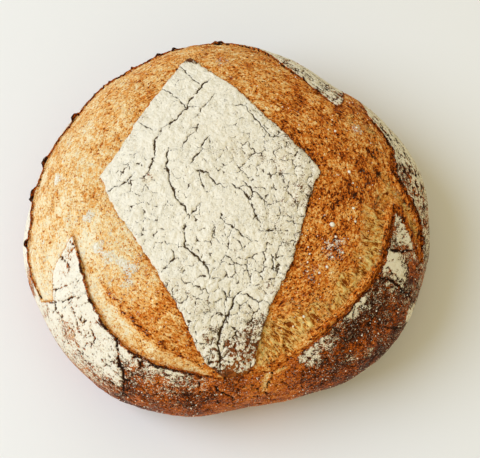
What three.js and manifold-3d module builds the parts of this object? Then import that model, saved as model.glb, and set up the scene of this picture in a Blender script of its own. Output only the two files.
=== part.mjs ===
// Country loaf: a round hearth loaf scored with four long slashes. The slashes opened in the
// oven and left a kite-shaped panel of skin on the crown, a spike of skin at its left and at
// its right, and raised ears along the outer lips. It is one solid, in millimetres, +Z up,
// standing on its flat base, with its front facing -Y.
import * as THREE from "three";
import Module from "manifold-3d";

// ---- Driving dimensions ----

const HEIGHT = 108; // from the flat base to the crown
const WIDEST_HEIGHT = 38; // height of the widest line above the base
const RADIUS = 125; // mean radius at the widest line
const BASE_SHARE = 0.78; // radius of the flat base as a share of RADIUS
const CROWN_POWER = 2.18; // superellipse power of the profile above the widest line
const FOOT_POWER = 2.3; // and below it

// The outline's departures from a circle: waves round the loaf. A swell is in mm at the
// widest line, and a crest is the direction of one of the wave's crests in degrees from +X.
const OUTLINE_WAVES = [
  { waves: 2, swell: 3.6, crest: 5 },
  { waves: 3, swell: 3.9, crest: -16 },
  { waves: 5, swell: 1.6, crest: 26 },
  { waves: 6, swell: 1.0, crest: 16 },
];

// Shallow swellings of the whole crust, as a product of two waves over the crust's map.
const SWELLING = { height: 0.9, lengthU: 74, lengthV: 88, shiftU: 0.6, shiftV: 1.9 };

// The crust's map: the surface laid out flat round the crown, in mm. A map point (u, v) lies
// as far from the crown, walked down over the dome, as it lies from the map's origin, and in
// the same direction. +u is the loaf's right and -v its front.
const PANEL_TOP = [-23, 101];
const PANEL_LEFT = [-76, 12];
const PANEL_RIGHT = [55, 12];
const LEFT_SPIKE = [-91, -22];
const RIGHT_SPIKE = [104, -4];
const LIP_ABOVE_LEFT = [-134, 15];
const LIP_ABOVE_RIGHT = [106, 20];

// Each opened slash lies between two curves on the map, paired station by station: an inner
// one along the panel or a spike, and the lip. Its floor of opened crumb lies innerDepth below
// the skin along the inner curve and lipDepth along the lip, and bulges up between them. The
// ridge is the height of a late tear that runs along the slash.
const SLASHES = {
  upperLeft: {
    inner: [PANEL_TOP, [-39, 76], [-58, 43], PANEL_LEFT],
    lip: [[-26, 129], [-83, 106], [-121, 62], LIP_ABOVE_LEFT],
    innerDepth: 2.3,
    lipDepth: 3.2,
    ridge: 0,
  },
  leftTail: {
    inner: [PANEL_LEFT, LEFT_SPIKE, [-106, -43], [-113, -61]],
    lip: [LIP_ABOVE_LEFT, [-132, -12], [-129, -36], [-121, -61]],
    innerDepth: 2.3,
    lipDepth: 3.2,
    ridge: 0,
  },
  upperRight: {
    inner: [PANEL_TOP, [-12, 88], [4, 73], [20, 56], [33, 45], [45, 28], PANEL_RIGHT],
    lip: [[-26, 129], [12, 125], [43, 99], [71, 67], [94, 67], [106, 42], LIP_ABOVE_RIGHT],
    innerDepth: 2.3,
    lipDepth: 3.2,
    ridge: 0,
  },
  rightGap: {
    inner: [[71, 62], [81, 82], [89, 101]],
    lip: [[95, 64], [98, 84], [102, 98]],
    innerDepth: 2.6,
    lipDepth: 2.6,
    ridge: 0,
  },
  rightTail: {
    inner: [PANEL_RIGHT, RIGHT_SPIKE, [116, -18], [130, -34]],
    lip: [LIP_ABOVE_RIGHT, [115, 7], [128, -9], [136, -33]],
    innerDepth: 2.3,
    lipDepth: 3.2,
    ridge: 0,
  },
  lowerLeft: {
    inner: [PANEL_LEFT, [-66, -7], [-50, -30], [-36, -53], [-24, -77], [-15, -102], [-5, -117]],
    lip: [LEFT_SPIKE, [-84, -43], [-79, -63], [-64, -87], [-43, -103], [-22, -114], [-4, -122]],
    innerDepth: 2.3,
    lipDepth: 3.8,
    ridge: 1.8,
  },
  lowerRight: {
    inner: [PANEL_RIGHT, [49, -4], [43, -27], [38, -49], [29, -76], [22, -103], [20, -115]],
    lip: [RIGHT_SPIKE, [100, -23], [94, -43], [81, -62], [65, -83], [50, -104], [34, -120]],
    innerDepth: 2.5,
    lipDepth: 3.6,
    ridge: 0,
  },
};
const BULGE_SLOPE = 0.03; // height of a floor's bulge for each mm of the slash's width
const BULGE_POWER = 0.7; // below 1, the bulge rises quickly from both edges
const RIDGE_PLACE = 0.66; // share of the way from the inner curve to the lip
const RIDGE_SPREAD = 0.1; // half its width, as the same share

// Ears: the skin curls up along the lips. Each follows a curve on the map, with the loaf's
// rim on the side given by rimSide: 1 is to the left of the curve's direction, -1 the right.
const EARS = [
  { curve: SLASHES.lowerLeft.lip, rise: 3, width: 10, rimSide: -1 },
  { curve: SLASHES.lowerRight.lip, rise: 2.8, width: 10, rimSide: 1 },
  {
    curve: [...SLASHES.upperLeft.lip, ...SLASHES.leftTail.lip.slice(1)],
    rise: 2.2,
    width: 9,
    rimSide: -1,
  },
  { curve: SLASHES.upperRight.lip.slice(0, 4), rise: 2.4, width: 11, rimSide: 1 },
  {
    curve: [[98, 84], ...SLASHES.upperRight.lip.slice(4), ...SLASHES.rightTail.lip.slice(1)],
    rise: 2.4,
    width: 11,
    rimSide: 1,
  },
];
const EAR_OVERHANG = 1.2; // how far an ear's edge reaches over the slash
const EAR_EDGE = 1.4; // thickness of its edge
const EAR_CREST = 0.22; // share of its width where it is highest
const EAR_FADE = 0.12; // share of its length over which each end dies away
const EAR_INSET = 0.015; // share of the lip left bare at each end

// ---- Mesh density ----

const SECTORS = 84;
const CROWN_RINGS = 20;
const FOOT_RINGS = 7;
const PROFILE_STEPS = 600;
const SLASH_COLUMNS_PER_STATION = 3;
const SLASH_ROWS = 6;
const EAR_COLUMNS_PER_STATION = 3;
const CUT_HEADROOM = 14; // how far a cutter stands above the skin
const CUT_OVERLAP = 0.8; // how far each end of a cutter runs on into its neighbour
const ROOT_DEPTH = 5; // how far an ear is rooted in the loaf

// ---- The loaf's profile and map ----

// Points of the half profile from the crown down to the edge of the base, each with its
// distance s walked along the profile. Both parts are superellipse arcs.
function sampleProfile() {
  const points = [];
  const quarter = Math.PI / 2;
  for (let i = 0; i <= PROFILE_STEPS; i++) {
    const t = (quarter * i) / PROFILE_STEPS;
    points.push({
      r: RADIUS * Math.sin(t) ** (2 / CROWN_POWER),
      z: WIDEST_HEIGHT + (HEIGHT - WIDEST_HEIGHT) * Math.cos(t) ** (2 / CROWN_POWER),
    });
  }
  for (let i = 1; i <= PROFILE_STEPS; i++) {
    const t = (quarter * i) / PROFILE_STEPS;
    points.push({
      r: RADIUS * (BASE_SHARE + (1 - BASE_SHARE) * Math.cos(t) ** (2 / FOOT_POWER)),
      z: WIDEST_HEIGHT * (1 - Math.sin(t) ** (2 / FOOT_POWER)),
    });
  }
  points[0].s = 0;
  for (let i = 1; i < points.length; i++) {
    const before = points[i - 1];
    const here = points[i];
    here.s = before.s + Math.hypot(here.r - before.r, here.z - before.z);
  }
  return points;
}

const profile = sampleProfile();
const BASE_EDGE = profile[profile.length - 1].s;
const WIDEST_EDGE = profile[PROFILE_STEPS].s;

// The profile's radius, height and outward direction at distance s from the crown.
function profileAt(s) {
  let low = 0;
  let high = profile.length - 1;
  while (high - low > 1) {
    const middle = (low + high) >> 1;
    if (profile[middle].s <= s) low = middle;
    else high = middle;
  }
  const a = profile[low];
  const b = profile[high];
  const span = b.s - a.s;
  const share = Math.min(1, Math.max(0, (s - a.s) / span));
  return {
    r: a.r + (b.r - a.r) * share,
    z: a.z + (b.z - a.z) * share,
    outR: (a.z - b.z) / span,
    outZ: (b.r - a.r) / span,
  };
}

// How far the outline stands out in a direction, as a factor on the profile's radius.
function outlineFactor(angle) {
  let factor = 1;
  for (const { waves, swell, crest } of OUTLINE_WAVES) {
    factor += (swell / RADIUS) * Math.cos(waves * (angle - THREE.MathUtils.degToRad(crest)));
  }
  return factor;
}

// The crust's shallow swelling at a map point, which dies away towards the base.
function swelling(u, v) {
  const waveU = Math.sin((2 * Math.PI * u) / SWELLING.lengthU + SWELLING.shiftU);
  const waveV = Math.cos((2 * Math.PI * v) / SWELLING.lengthV + SWELLING.shiftV);
  const fade = 1 - THREE.MathUtils.smoothstep(Math.hypot(u, v), WIDEST_EDGE, BASE_EDGE);
  return SWELLING.height * waveU * waveV * fade;
}

// The point of the loaf at map point (u, v), lifted off the skin by lift.
function onLoaf(u, v, lift) {
  const angle = Math.atan2(v, u);
  const { r, z, outR, outZ } = profileAt(Math.hypot(u, v));
  const rise = lift + swelling(u, v);
  const reach = r * outlineFactor(angle) + rise * outR;
  return [reach * Math.cos(angle), reach * Math.sin(angle), Math.max(0, z + rise * outZ)];
}

// ---- Solids ----

const wasm = await Module();
wasm.setup();

// A solid from points and triangles. The triangles are turned round if they face inwards.
function makeSolid(points, triangles) {
  let volume = 0;
  for (const [a, b, c] of triangles) {
    const p = new THREE.Vector3(...points[a]);
    const q = new THREE.Vector3(...points[b]);
    volume += p.dot(q.cross(new THREE.Vector3(...points[c])));
  }
  const outward = volume > 0 ? triangles : triangles.map(([a, b, c]) => [a, c, b]);
  return new wasm.Manifold(new wasm.Mesh({
    numProp: 3,
    vertProperties: new Float32Array(points.flat()),
    triVerts: new Uint32Array(outward.flat()),
  }));
}

// The dome: rings of points round the crown and down to the base edge, a point at the crown,
// and a flat base.
function makeDome() {
  const distances = [];
  for (let i = 1; i <= CROWN_RINGS; i++) distances.push((WIDEST_EDGE * i) / CROWN_RINGS);
  for (let i = 1; i <= FOOT_RINGS; i++) {
    distances.push(WIDEST_EDGE + ((BASE_EDGE - WIDEST_EDGE) * i) / FOOT_RINGS);
  }
  const points = [onLoaf(0, 0, 0)];
  for (const s of distances) {
    for (let k = 0; k < SECTORS; k++) {
      const angle = (2 * Math.PI * k) / SECTORS;
      points.push(onLoaf(s * Math.cos(angle), s * Math.sin(angle), 0));
    }
  }
  points.push([0, 0, 0]);
  const ring = (j, k) => 1 + j * SECTORS + (k % SECTORS);
  const last = distances.length - 1;
  const triangles = [];
  for (let k = 0; k < SECTORS; k++) {
    triangles.push([0, ring(0, k), ring(0, k + 1)]);
    triangles.push([points.length - 1, ring(last, k + 1), ring(last, k)]);
    for (let j = 0; j < last; j++) {
      triangles.push([ring(j, k), ring(j + 1, k), ring(j + 1, k + 1)]);
      triangles.push([ring(j, k), ring(j + 1, k + 1), ring(j, k + 1)]);
    }
  }
  return makeSolid(points, triangles);
}

// A slab over a four-sided patch of the map: a top grid and a bottom grid of the same columns
// and rows, joined round their rims. place(a, b) gives the map point, and top and bottom
// give the lifts off the skin there, with a and b running from 0 to 1.
function makeSlab(columns, rows, place, top, bottom) {
  const points = [];
  for (const lift of [top, bottom]) {
    for (let i = 0; i <= columns; i++) {
      for (let j = 0; j <= rows; j++) {
        const a = i / columns;
        const b = j / rows;
        points.push(onLoaf(...place(a, b), lift(a, b)));
      }
    }
  }
  const layer = (columns + 1) * (rows + 1);
  const at = (i, j, side) => side * layer + i * (rows + 1) + j;
  const triangles = [];
  const quad = (p, q, r, s) => triangles.push([p, q, r], [p, r, s]);
  for (let i = 0; i < columns; i++) {
    for (let j = 0; j < rows; j++) {
      quad(at(i, j, 0), at(i + 1, j, 0), at(i + 1, j + 1, 0), at(i, j + 1, 0));
      quad(at(i, j, 1), at(i, j + 1, 1), at(i + 1, j + 1, 1), at(i + 1, j, 1));
    }
    quad(at(i, 0, 0), at(i, 0, 1), at(i + 1, 0, 1), at(i + 1, 0, 0));
    quad(at(i, rows, 0), at(i + 1, rows, 0), at(i + 1, rows, 1), at(i, rows, 1));
  }
  for (let j = 0; j < rows; j++) {
    quad(at(0, j, 0), at(0, j + 1, 0), at(0, j + 1, 1), at(0, j, 1));
    quad(at(columns, j, 0), at(columns, j, 1), at(columns, j + 1, 1), at(columns, j + 1, 0));
  }
  return makeSolid(points, triangles);
}

// A smooth curve through map points.
function mapCurve(stations) {
  return new THREE.SplineCurve(stations.map(([u, v]) => new THREE.Vector2(u, v)));
}

// The cutter of one slash: its underside is the floor of opened crumb.
function makeSlashCutter({ inner, lip, innerDepth, lipDepth, ridge }) {
  const innerCurve = mapCurve(inner);
  const lipCurve = mapCurve(lip);
  const columns = (inner.length - 1) * SLASH_COLUMNS_PER_STATION;
  const place = (a, b) => {
    const point = innerCurve.getPoint(a).lerp(lipCurve.getPoint(a), b);
    const along = innerCurve.getTangent(a).lerp(lipCurve.getTangent(a), b);
    const runOn = CUT_OVERLAP * (Math.floor(a) - Math.floor(1 - a));
    return [point.x + along.x * runOn, point.y + along.y * runOn];
  };
  const floor = (a, b) => {
    const width = innerCurve.getPoint(a).distanceTo(lipCurve.getPoint(a));
    const depth = innerDepth + (lipDepth - innerDepth) * b;
    const bulge = BULGE_SLOPE * width * Math.sin(Math.PI * b) ** BULGE_POWER;
    const tear = Math.max(0, 1 - Math.abs(b - RIDGE_PLACE) / RIDGE_SPREAD);
    return bulge - depth + ridge * tear * Math.sin(Math.PI * a);
  };
  return makeSlab(columns, SLASH_ROWS, place, () => CUT_HEADROOM, floor);
}

// An ear: a strip along a lip that rises to a crest near its edge, reaches a little over the
// slash, and slopes down into the rim's skin.
function makeEar({ curve, rise, width, rimSide }) {
  const path = mapCurve(curve);
  const columns = (curve.length - 1) * EAR_COLUMNS_PER_STATION;
  const shares = [0, EAR_CREST, (1 + EAR_CREST) / 2, 1];
  const rows = shares.length - 1;
  const place = (a, b) => {
    const share = EAR_INSET + (1 - 2 * EAR_INSET) * a;
    const point = path.getPoint(share);
    const along = path.getTangent(share);
    const reach = (shares[Math.round(b * rows)] * width - EAR_OVERHANG) * rimSide;
    return [point.x - along.y * reach, point.y + along.x * reach];
  };
  const strength = (a) => Math.min(1, Math.min(a, 1 - a) / EAR_FADE);
  const heights = [0.7, 1, 0.35, -0.2];
  const top = (a, b) => rise * strength(a) * heights[Math.round(b * rows)];
  const bottom = (a, b) => (b === 0 ? top(a, b) - EAR_EDGE : -ROOT_DEPTH);
  return makeSlab(columns, rows, place, top, bottom);
}

function makeLoaf() {
  let loaf = makeDome();
  for (const slash of Object.values(SLASHES)) loaf = loaf.subtract(makeSlashCutter(slash));
  for (const ear of EARS) loaf = loaf.add(makeEar(ear));
  return loaf;
}

// ---- The scene graph ----

// A BufferGeometry of the solid, moved so that its box is centred on the Z axis.
function centredGeometry(solid) {
  const { vertProperties, triVerts } = solid.getMesh();
  const geometry = new THREE.BufferGeometry();
  geometry.setAttribute("position", new THREE.BufferAttribute(vertProperties, 3));
  geometry.setIndex(new THREE.BufferAttribute(triVerts, 1));
  geometry.computeBoundingBox();
  const middle = geometry.boundingBox.getCenter(new THREE.Vector3());
  geometry.translate(-middle.x, -middle.y, 0);
  geometry.computeVertexNormals();
  return geometry;
}

const crust = new THREE.MeshStandardMaterial({
  color: new THREE.Color().setRGB(0.69, 0.43, 0.2, THREE.SRGBColorSpace),
  roughness: 0.78,
  metalness: 0,
});

const countryLoaf = new THREE.Group();
const loaf = new THREE.Mesh(centredGeometry(makeLoaf()), crust);
loaf.name = "loaf";
countryLoaf.add(loaf);

export default countryLoaf;
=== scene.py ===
"""Country loaf: a hearth-baked round loaf with a floured, cracked panel of skin on its crown.

The loaf is dressed with closed skins that are all worked out on one map of its surface. A map
point (u, v), in mm, lies as far from the crown, walked down over the dome, as it lies from
the map's origin. +u is the loaf's right and -v its front. Lengths in this file are in mm,
and become metres where a mesh is made.
"""

import math

import bpy
import numpy as np
from bpy.props import FloatProperty, FloatVectorProperty, IntProperty, PointerProperty
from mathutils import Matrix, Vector


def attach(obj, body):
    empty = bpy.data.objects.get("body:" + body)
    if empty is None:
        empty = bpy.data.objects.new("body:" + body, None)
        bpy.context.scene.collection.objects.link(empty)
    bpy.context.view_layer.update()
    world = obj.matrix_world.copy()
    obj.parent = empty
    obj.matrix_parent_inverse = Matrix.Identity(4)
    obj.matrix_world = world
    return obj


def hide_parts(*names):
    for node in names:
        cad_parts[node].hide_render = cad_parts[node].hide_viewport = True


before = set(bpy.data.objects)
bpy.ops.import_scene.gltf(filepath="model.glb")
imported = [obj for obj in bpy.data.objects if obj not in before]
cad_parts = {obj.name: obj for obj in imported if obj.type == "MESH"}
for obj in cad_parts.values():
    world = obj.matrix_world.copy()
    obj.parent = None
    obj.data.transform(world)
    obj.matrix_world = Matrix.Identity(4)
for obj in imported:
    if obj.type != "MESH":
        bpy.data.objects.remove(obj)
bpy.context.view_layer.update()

bl_info = {
    "name": "Country Loaf",
    "version": (1, 0, 0),
    "blender": (4, 5, 0),
    "location": "View3D > Sidebar > Loaf",
    "description": "Builds a scored, floured country loaf as closed skins",
    "category": "Add Mesh",
}

NODE = "loaf"
BODY = "root"
MM = 0.001

# ---- Shape of the loaf, as the solid has it ----

HEIGHT = 108.0  # from the flat base to the crown
WIDEST_HEIGHT = 38.0  # of the widest line above the base
RADIUS = 125.0  # mean radius at the widest line
BASE_SHARE = 0.78  # radius of the flat base as a share of it
CROWN_POWER = 2.18  # superellipse power of the profile above the widest line
FOOT_POWER = 2.3  # and below it
# Waves round the outline: how many, their swell in mm and the direction of a crest in degrees.
OUTLINE_WAVES = ((2, 3.6, 5), (3, 3.9, -16), (5, 1.6, 26), (6, 1.0, 16))
SWELLING_HEIGHT = 0.9  # of the whole crust's shallow swellings
SWELLING_U = (74, 0.6)  # their wave length and phase along +u
SWELLING_V = (88, 1.9)  # and along +v
PROFILE_STEPS = 600  # in each of the profile's two arcs

# Corners, edges and lips as points of the map. A spike is a point of skin at a lip's end.
PANEL_TOP = (-23, 101)
PANEL_LEFT = (-76, 12)
PANEL_RIGHT = (55, 12)
PANEL_FOOT = (8, -129)
PANEL_EDGES = {
    "upper_left": (PANEL_TOP, (-39, 76), (-58, 43), PANEL_LEFT),
    "upper_right": (PANEL_TOP, (-12, 88), (4, 73), (20, 56), (33, 45), (45, 28), PANEL_RIGHT),
    "lower_left": (PANEL_LEFT, (-66, -7), (-50, -30), (-36, -53), (-24, -77), (-15, -102),
                   (-5, -117), PANEL_FOOT),
    "lower_right": (PANEL_RIGHT, (49, -4), (43, -27), (38, -49), (29, -76), (22, -103),
                    (20, -115), PANEL_FOOT),
}
LEFT_SPIKE = (-91, -22)
RIGHT_SPIKE = (104, -4)
LIP_ABOVE_LEFT = (-134, 15)
LIP_ABOVE_RIGHT = (106, 20)
LIPS = {
    "lower_left": (LEFT_SPIKE, (-84, -43), (-79, -63), (-64, -87), (-43, -103), (-22, -114),
                   (-4, -122)),
    "lower_right": (RIGHT_SPIKE, (100, -23), (94, -43), (81, -62), (65, -83), (50, -104),
                    (34, -120)),
    "left": ((-26, 129), (-80, 103), (-117, 60), LIP_ABOVE_LEFT, (-129, -8), (-131, -28),
             (-129, -44), (-123, -61)),
    "top": ((-26, 129), (6, 129), (26, 121), (40, 102), (55, 89), (73, 69)),
    "right": ((94, 67), (106, 42), LIP_ABOVE_RIGHT, (115, 7), (128, -9), (136, -33)),
}
LEFT_SPIKE_SIDE = (LEFT_SPIKE, (-97, -31), (-106, -44), (-107, -61))
RIGHT_SPIKE_SIDE = (RIGHT_SPIKE, (116, -18), (130, -34))
GAP_SIDES = (((75, 67), (79, 72), (84, 85), (89, 101)), ((95, 64), (98, 84), (102, 98)))

OUTLINE_STEP = 3.0  # distance between the points of an outline
INNER_DEPTH = 2.0  # of the opened crumb below the skin, along the panel
BULGE_SLOPE = 0.03  # its bulge between them for each mm of the slash's width
BULGE_POWER = 0.7  # of the bulge's sine; under 1 makes it fuller
WIDEST_SLASH = 70.0  # width from which the bulge grows no more
LIPS_FROM, LIPS_TO = 86.0, 165.0  # distances walked from the crown that all lips lie between
LIP_SNAP = 0.62  # how near to a lip a point of the rim is moved onto it
FAR = 60.0  # distance to the lips that counts as none of them near
SUNK = 7.0  # depth of the rim's hidden skin, under the opened crumb
CRUMB_UNDERSIDE = 14.0  # depth of the opened crumb's plain underside
PANEL_SKIRTS = ((1.2, 2.4), (3.0, 8.0))  # the panel's folded border: how far in, how deep
PANEL_UNDERSIDE = 12.0  # depth of the point that closes the panel

# ---- Fine features on the map ----

# The late tear inside the front left lip.
TEAR_RIDGE = ((-77, -46), (-66, -60), (-55, -74), (-43, -86), (-24, -103), (-12, -112))

# Cracks of the floured panel: each a width and the points that it runs through.
PANEL_CRACKS = (
    (0.9, ((-31, 95), (-21, 80), (-15, 73))),
    (1.4, ((-9, 78), (-15, 72), (-15, 69), (-21, 62), (-23, 55), (-29, 48), (-38, 41))),
    (1.2, ((-38, 41), (-43, 32), (-42, 24), (-45, 16), (-45, 9))),
    (0.9, ((-40, 75), (-31, 65), (-24, 56), (-15, 55))),
    (0.8, ((-6, 65), (-10, 59), (-18, 47))),
    (0.9, ((-16, 43), (-17, 38), (-22, 33), (-26, 26))),
    (0.9, ((-71, 0), (-66, 3), (-58, 6), (-54, 13))),
    (0.7, ((-55, 48), (-47, 43), (-42, 40))),
    (1.1, ((-34, 27), (-35, 14), (-31, 4), (-28, -7), (-22, -12), (-20, -18))),
    (1.2, ((-20, -18), (-23, -26), (-22, -34), (-17, -41), (-11, -47), (-8, -57))),
    (0.8, ((-20, -18), (-17, -14), (-13, -9))),
    (0.9, ((-29, -37), (-29, -42), (-37, -51))),
    (1.0, ((-8, 34), (-12, 30), (-15, 22), (-21, 15))),
    (0.7, ((-9, 33), (-8, 25))),
    (0.8, ((-15, 10), (-13, 1), (-9, -4))),
    (1.1, ((-17, 11), (-9, 9), (-5, 2), (2, 0))),
    (1.2, ((5, 2), (13, -5), (17, -15), (21, -22))),
    (0.9, ((10, 4), (17, -2), (23, -8), (23, -15))),
    (0.9, ((-2, -17), (0, -23), (7, -28), (11, -32), (18, -35))),
    (0.8, ((-6, -25), (-6, -30), (-3, -36))),
    (1.0, ((20, -26), (24, -27), (30, -24))),
    (0.9, ((36, -19), (44, -22))),
    (0.8, ((28, -42), (30, -51), (37, -54))),
    (0.8, ((1, -44), (6, -49), (14, -51), (17, -60))),
    (1.6, ((8, -68), (5, -77), (-2, -88), (-4, -97), (-3, -108), (-3, -117))),
    (0.9, ((8, -68), (16, -70), (25, -74))),
    (0.9, ((-2, -65), (3, -72))),
    (0.8, ((4, 56), (12, 56), (19, 49), (30, 36), (38, 38))),
)
# Cracks of the rim's skin.
RIM_CRACKS = (
    (2.1, ((-64, -87), (-65, -102), (-62, -108), (-66, -118), (-68, -126), (-66, -138))),
    (1.1, ((-77, -99), (-65, -102))),
    (1.1, ((-122, -61), (-109, -63), (-97, -62), (-85, -60), (-80, -58))),
    (0.9, ((-93, -63), (-91, -72), (-91, -82))),
    (0.9, ((-96, -95), (-90, -108), (-93, -142))),
    (0.8, ((-93, -95), (-78, -86))),
    (1.1, ((-44, -139), (-39, -148), (-39, -168))),
    (1.3, ((22, -105), (28, -111), (32, -116), (34, -122), (32, -129), (31, -136))),
    (1.6, ((-8, -126), (-1, -134), (5, -141), (7, -150), (8, -168))),
    (0.9, ((5, -143), (14, -139))),
    (1.5, ((29, -135), (34, -144), (36, -156))),
    (1.8, ((98, -31), (108, -30), (120, -28))),
    (1.8, ((90, -47), (104, -50), (113, -55), (127, -59))),
    (0.9, ((66, -81), (77, -90))),
    (2.2, ((36, 123), (52, 119), (64, 108), (73, 97), (86, 88))),
    (1.2, ((-60, 140), (-66, 158), (-60, 176))),
    (1.1, ((30, 140), (38, 156), (34, 172))),
    (1.2, ((138, 40), (158, 44), (172, 38))),
)
# Late cracks of the rim that show golden crumb.
GOLDEN_CRACKS = (
    (3.8, ((18, -104), (24, -110), (29, -116), (31, -121), (29, -128), (29, -134), (28, -139))),
    (2.4, ((31, -121), (38, -119), (45, -115))),
)
GOLDEN_BAKE = 0.22  # the bake of that crumb
# Creases and pits of the opened crumb, sunk and darkened as painted shade.
CRUMB_CREASES = (
    (1.4, ((-72, 2), (-84, -3), (-95, -3), (-93, -12), (-92, -24))),
    (1.0, ((-113, -12), (-113, -5), (-107, -1), (-107, 6))),
    (1.2, ((-77, 47), (-76, 38), (-82, 27))),
    (1.0, ((-60, 82), (-56, 85), (-53, 79), (-58, 76), (-60, 82))),
    (2.0, ((-86, 68), (-85, 75), (-78, 79))),
    (1.6, ((-17, 100), (-14, 105), (-8, 108))),
    (3.0, ((90, 27), (88, 31), (86, 35))),
    (2.6, ((98, 10), (95, 16), (92, 21))),
    (1.6, ((22, -104), (27, -110), (30, -114), (32, -119))),
    (1.3, ((55, 61), (52, 58))),
    (1.5, ((29, 89), (26, 91))),
)
# Patches of flour on the rim and the crumb: map point, radius, and change of the flour there.
RIM_FLOUR = (
    (-84, -97, 9, 0.16), (-72, -99, 8, 0.24), (-70, -110, 8, 0.3), (-138, -48, 10, -0.6),
    (-92, -33, 5, -0.3), (-96, -42, 5, -0.2), (-101, -82, 8, -0.22), (-92, -108, 9, -0.05),
    (-60, -124, 9, -0.1), (-30, -118, 7, 0.12), (-40, -126, 7, 0.08), (-18, -126, 7, 0.12),
    (57, -106, 8, 0.46), (65, -93, 6, 0.3), (76, -71, 5, 0.44), (82, -63, 4, 0.4),
    (96, -97, 5, 0.34), (84, -103, 6, 0.3), (98, -36, 8, 0.42),
    (112, -18, 9, 0.3), (107, -44, 9, 0.34), (131, -70, 8, 0.6), (118, 40, 20, 0.22),
    (104, 62, 14, 0.26), (62, 104, 20, 0.36), (34, 122, 12, 0.3), (76, 99, 6, -0.3),
    (84, 84, 5, -0.3), (60, 122, 6, -0.25), (112, 22, 7, -0.3), (124, -42, 8, -0.3),
    (-122, -68, 7, -0.35),
)
CRUMB_FLOUR = (
    (-106, 16, 4, 0.42), (-80, -14, 4, 0.4), (-73, -33, 4, 0.32), (-67, -38, 4, 0.32),
    (-58, -43, 4, 0.32), (-53, -47, 4, 0.3), (-55, -55, 4, 0.28), (-104, 45, 4, 0.25),
    (82, 47, 4, 0.4), (63, -34, 7, 0.3), (-2, 97, 5, 0.3), (50, -50, 6, 0.2),
)
# Paler and darker places of the crumb: map point, radius, and change of its bake.
CRUMB_TONES = (
    (-76, -39, 9, 0.14), (-40, -95, 9, -0.09), (-21, -108, 10, -0.14), (-31, -84, 10, -0.11),
    (-103, -12, 10, -0.1), (-106, -38, 6, 0.05), (-42, 79, 12, 0.06), (85, 43, 10, -0.14),
    (71, 11, 12, 0.02), (48, -72, 8, 0.05),
)
# Places where flour has come off the panel: map point, radius, and change of the flour.
PANEL_WORN = (
    (-23, 100, 6, -0.75), (-34, 86, 6, -0.26), (-52, 52, 5, -0.22), (-58, 33, 6, -0.18),
    (-45, 7, 4, -0.30), (-18, 44, 10, -0.10), (33, 24, 14, -0.08), (43, -4, 10, -0.12),
    (24, -22, 13, -0.08), (-10, -28, 12, -0.08), (-27, -60, 9, -0.2), (27, -62, 8, -0.12),
    (20, -86, 9, -0.22), (-8, -92, 7, -0.22), (11, -103, 10, -0.2), (-2, -119, 8, -0.25),
    (-24, -42, 7, -0.16), (4, 24, 9, -0.12), (-14, -74, 8, -0.2),
)
# Clots of flour that lie on the crumb: map point and size.
CLOTS = (
    (62, -20, 3.4), (73, 14, 2.4), (75, 7, 1.5), (75, -9, 2.0), (76, -17, 1.8), (64, -27, 2.2),
    (62, -32, 1.9), (68, -36, 1.7), (62, -39, 1.9), (59, -45, 2.0), (55, -49, 1.8),
    (48, -34, 1.4), (49, -38, 1.6), (48, -43, 1.5), (49, -78, 2.0), (44, -86, 1.5),
    (68, 42, 2.0), (82, 47, 1.6), (68, 52, 1.3), (-104, 28, 1.6), (-81, -12, 1.6),
    (-78, -15, 1.3), (-79, -10, 1.0), (-74, -32, 1.4), (-72, -35, 1.7), (-70, -31, 1.1),
    (-67, -39, 1.5), (-65, -41, 1.1), (-59, -42, 1.6), (-57, -44, 1.2), (-53, -45, 1.4),
    (-52, -48, 1.6), (-55, -55, 1.3), (-54, -53, 1.0), (-105, 15, 1.5),
)
# Amount of flour on the crumb, the rim, and the rim beside the lips, in each direction:
# degrees from +u, then 0 to 1.
CRUMB_DUST = ((-180, 0.16), (-155, 0.24), (-135, 0.20), (-110, 0.08), (0, 0.02), (90, 0.06),
              (180, 0.16))
RIM_DUST = ((-180, 0.88), (-155, 0.86), (-143, 0.82), (-130, 0.60), (-117, 0.22), (-100, 0.12),
            (-88, 0.04), (-50, 0.04), (-28, 0.26), (0, 0.60), (20, 0.72), (50, 0.80), (90, 0.68),
            (130, 0.60), (160, 0.80), (180, 0.88))
LIP_DUST = ((-180, 0.0), (-160, 0.16), (-135, 0.40), (-120, 0.66), (-105, 0.60), (-98, 0.34),
            (-88, 0.0), (-68, 0.0), (-58, 0.30), (-40, 0.30), (-25, 0.0), (180, 0.0))
# Depth of the opened crumb along the lips in each direction: degrees from +u, then mm.
LIP_DEPTH = ((-180, 0.8), (-164, 0.7), (-150, 0.9), (-105, 1.1), (-84, 0.7), (-66, 0.5),
             (-52, 1.2), (0, 1.8), (15, 1.4), (32, 0.4), (54, 0.4), (80, 1.2), (120, 0.8),
             (180, 0.8))
# How dark the crust is baked in each direction: degrees from +u, then 0 pale to 1 charred.
RIM_BAKE = ((-180, 0.66), (-140, 0.72), (-118, 0.89), (-88, 0.79), (-74, 0.74), (-60, 0.88),
            (-45, 0.97), (-20, 0.94), (20, 0.84), (70, 0.76), (130, 0.68), (180, 0.66))
CRUMB_BAKE = ((-180, 0.22), (-160, 0.20), (-140, 0.27), (-120, 0.50), (-100, 0.60),
              (-75, 0.58), (-45, 0.60), (-10, 0.63), (20, 0.65), (60, 0.56), (85, 0.44),
              (110, 0.38), (150, 0.29), (180, 0.22))


# ---- Numbers worked out over whole arrays ----


def ease(low, high, x):
    """Smooth step: 0 below low, 1 above high, and 3t^2 - 2t^3 between them."""
    t = np.clip((x - low) / (high - low), 0.0, 1.0)
    return t * t * (3.0 - 2.0 * t)


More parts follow.
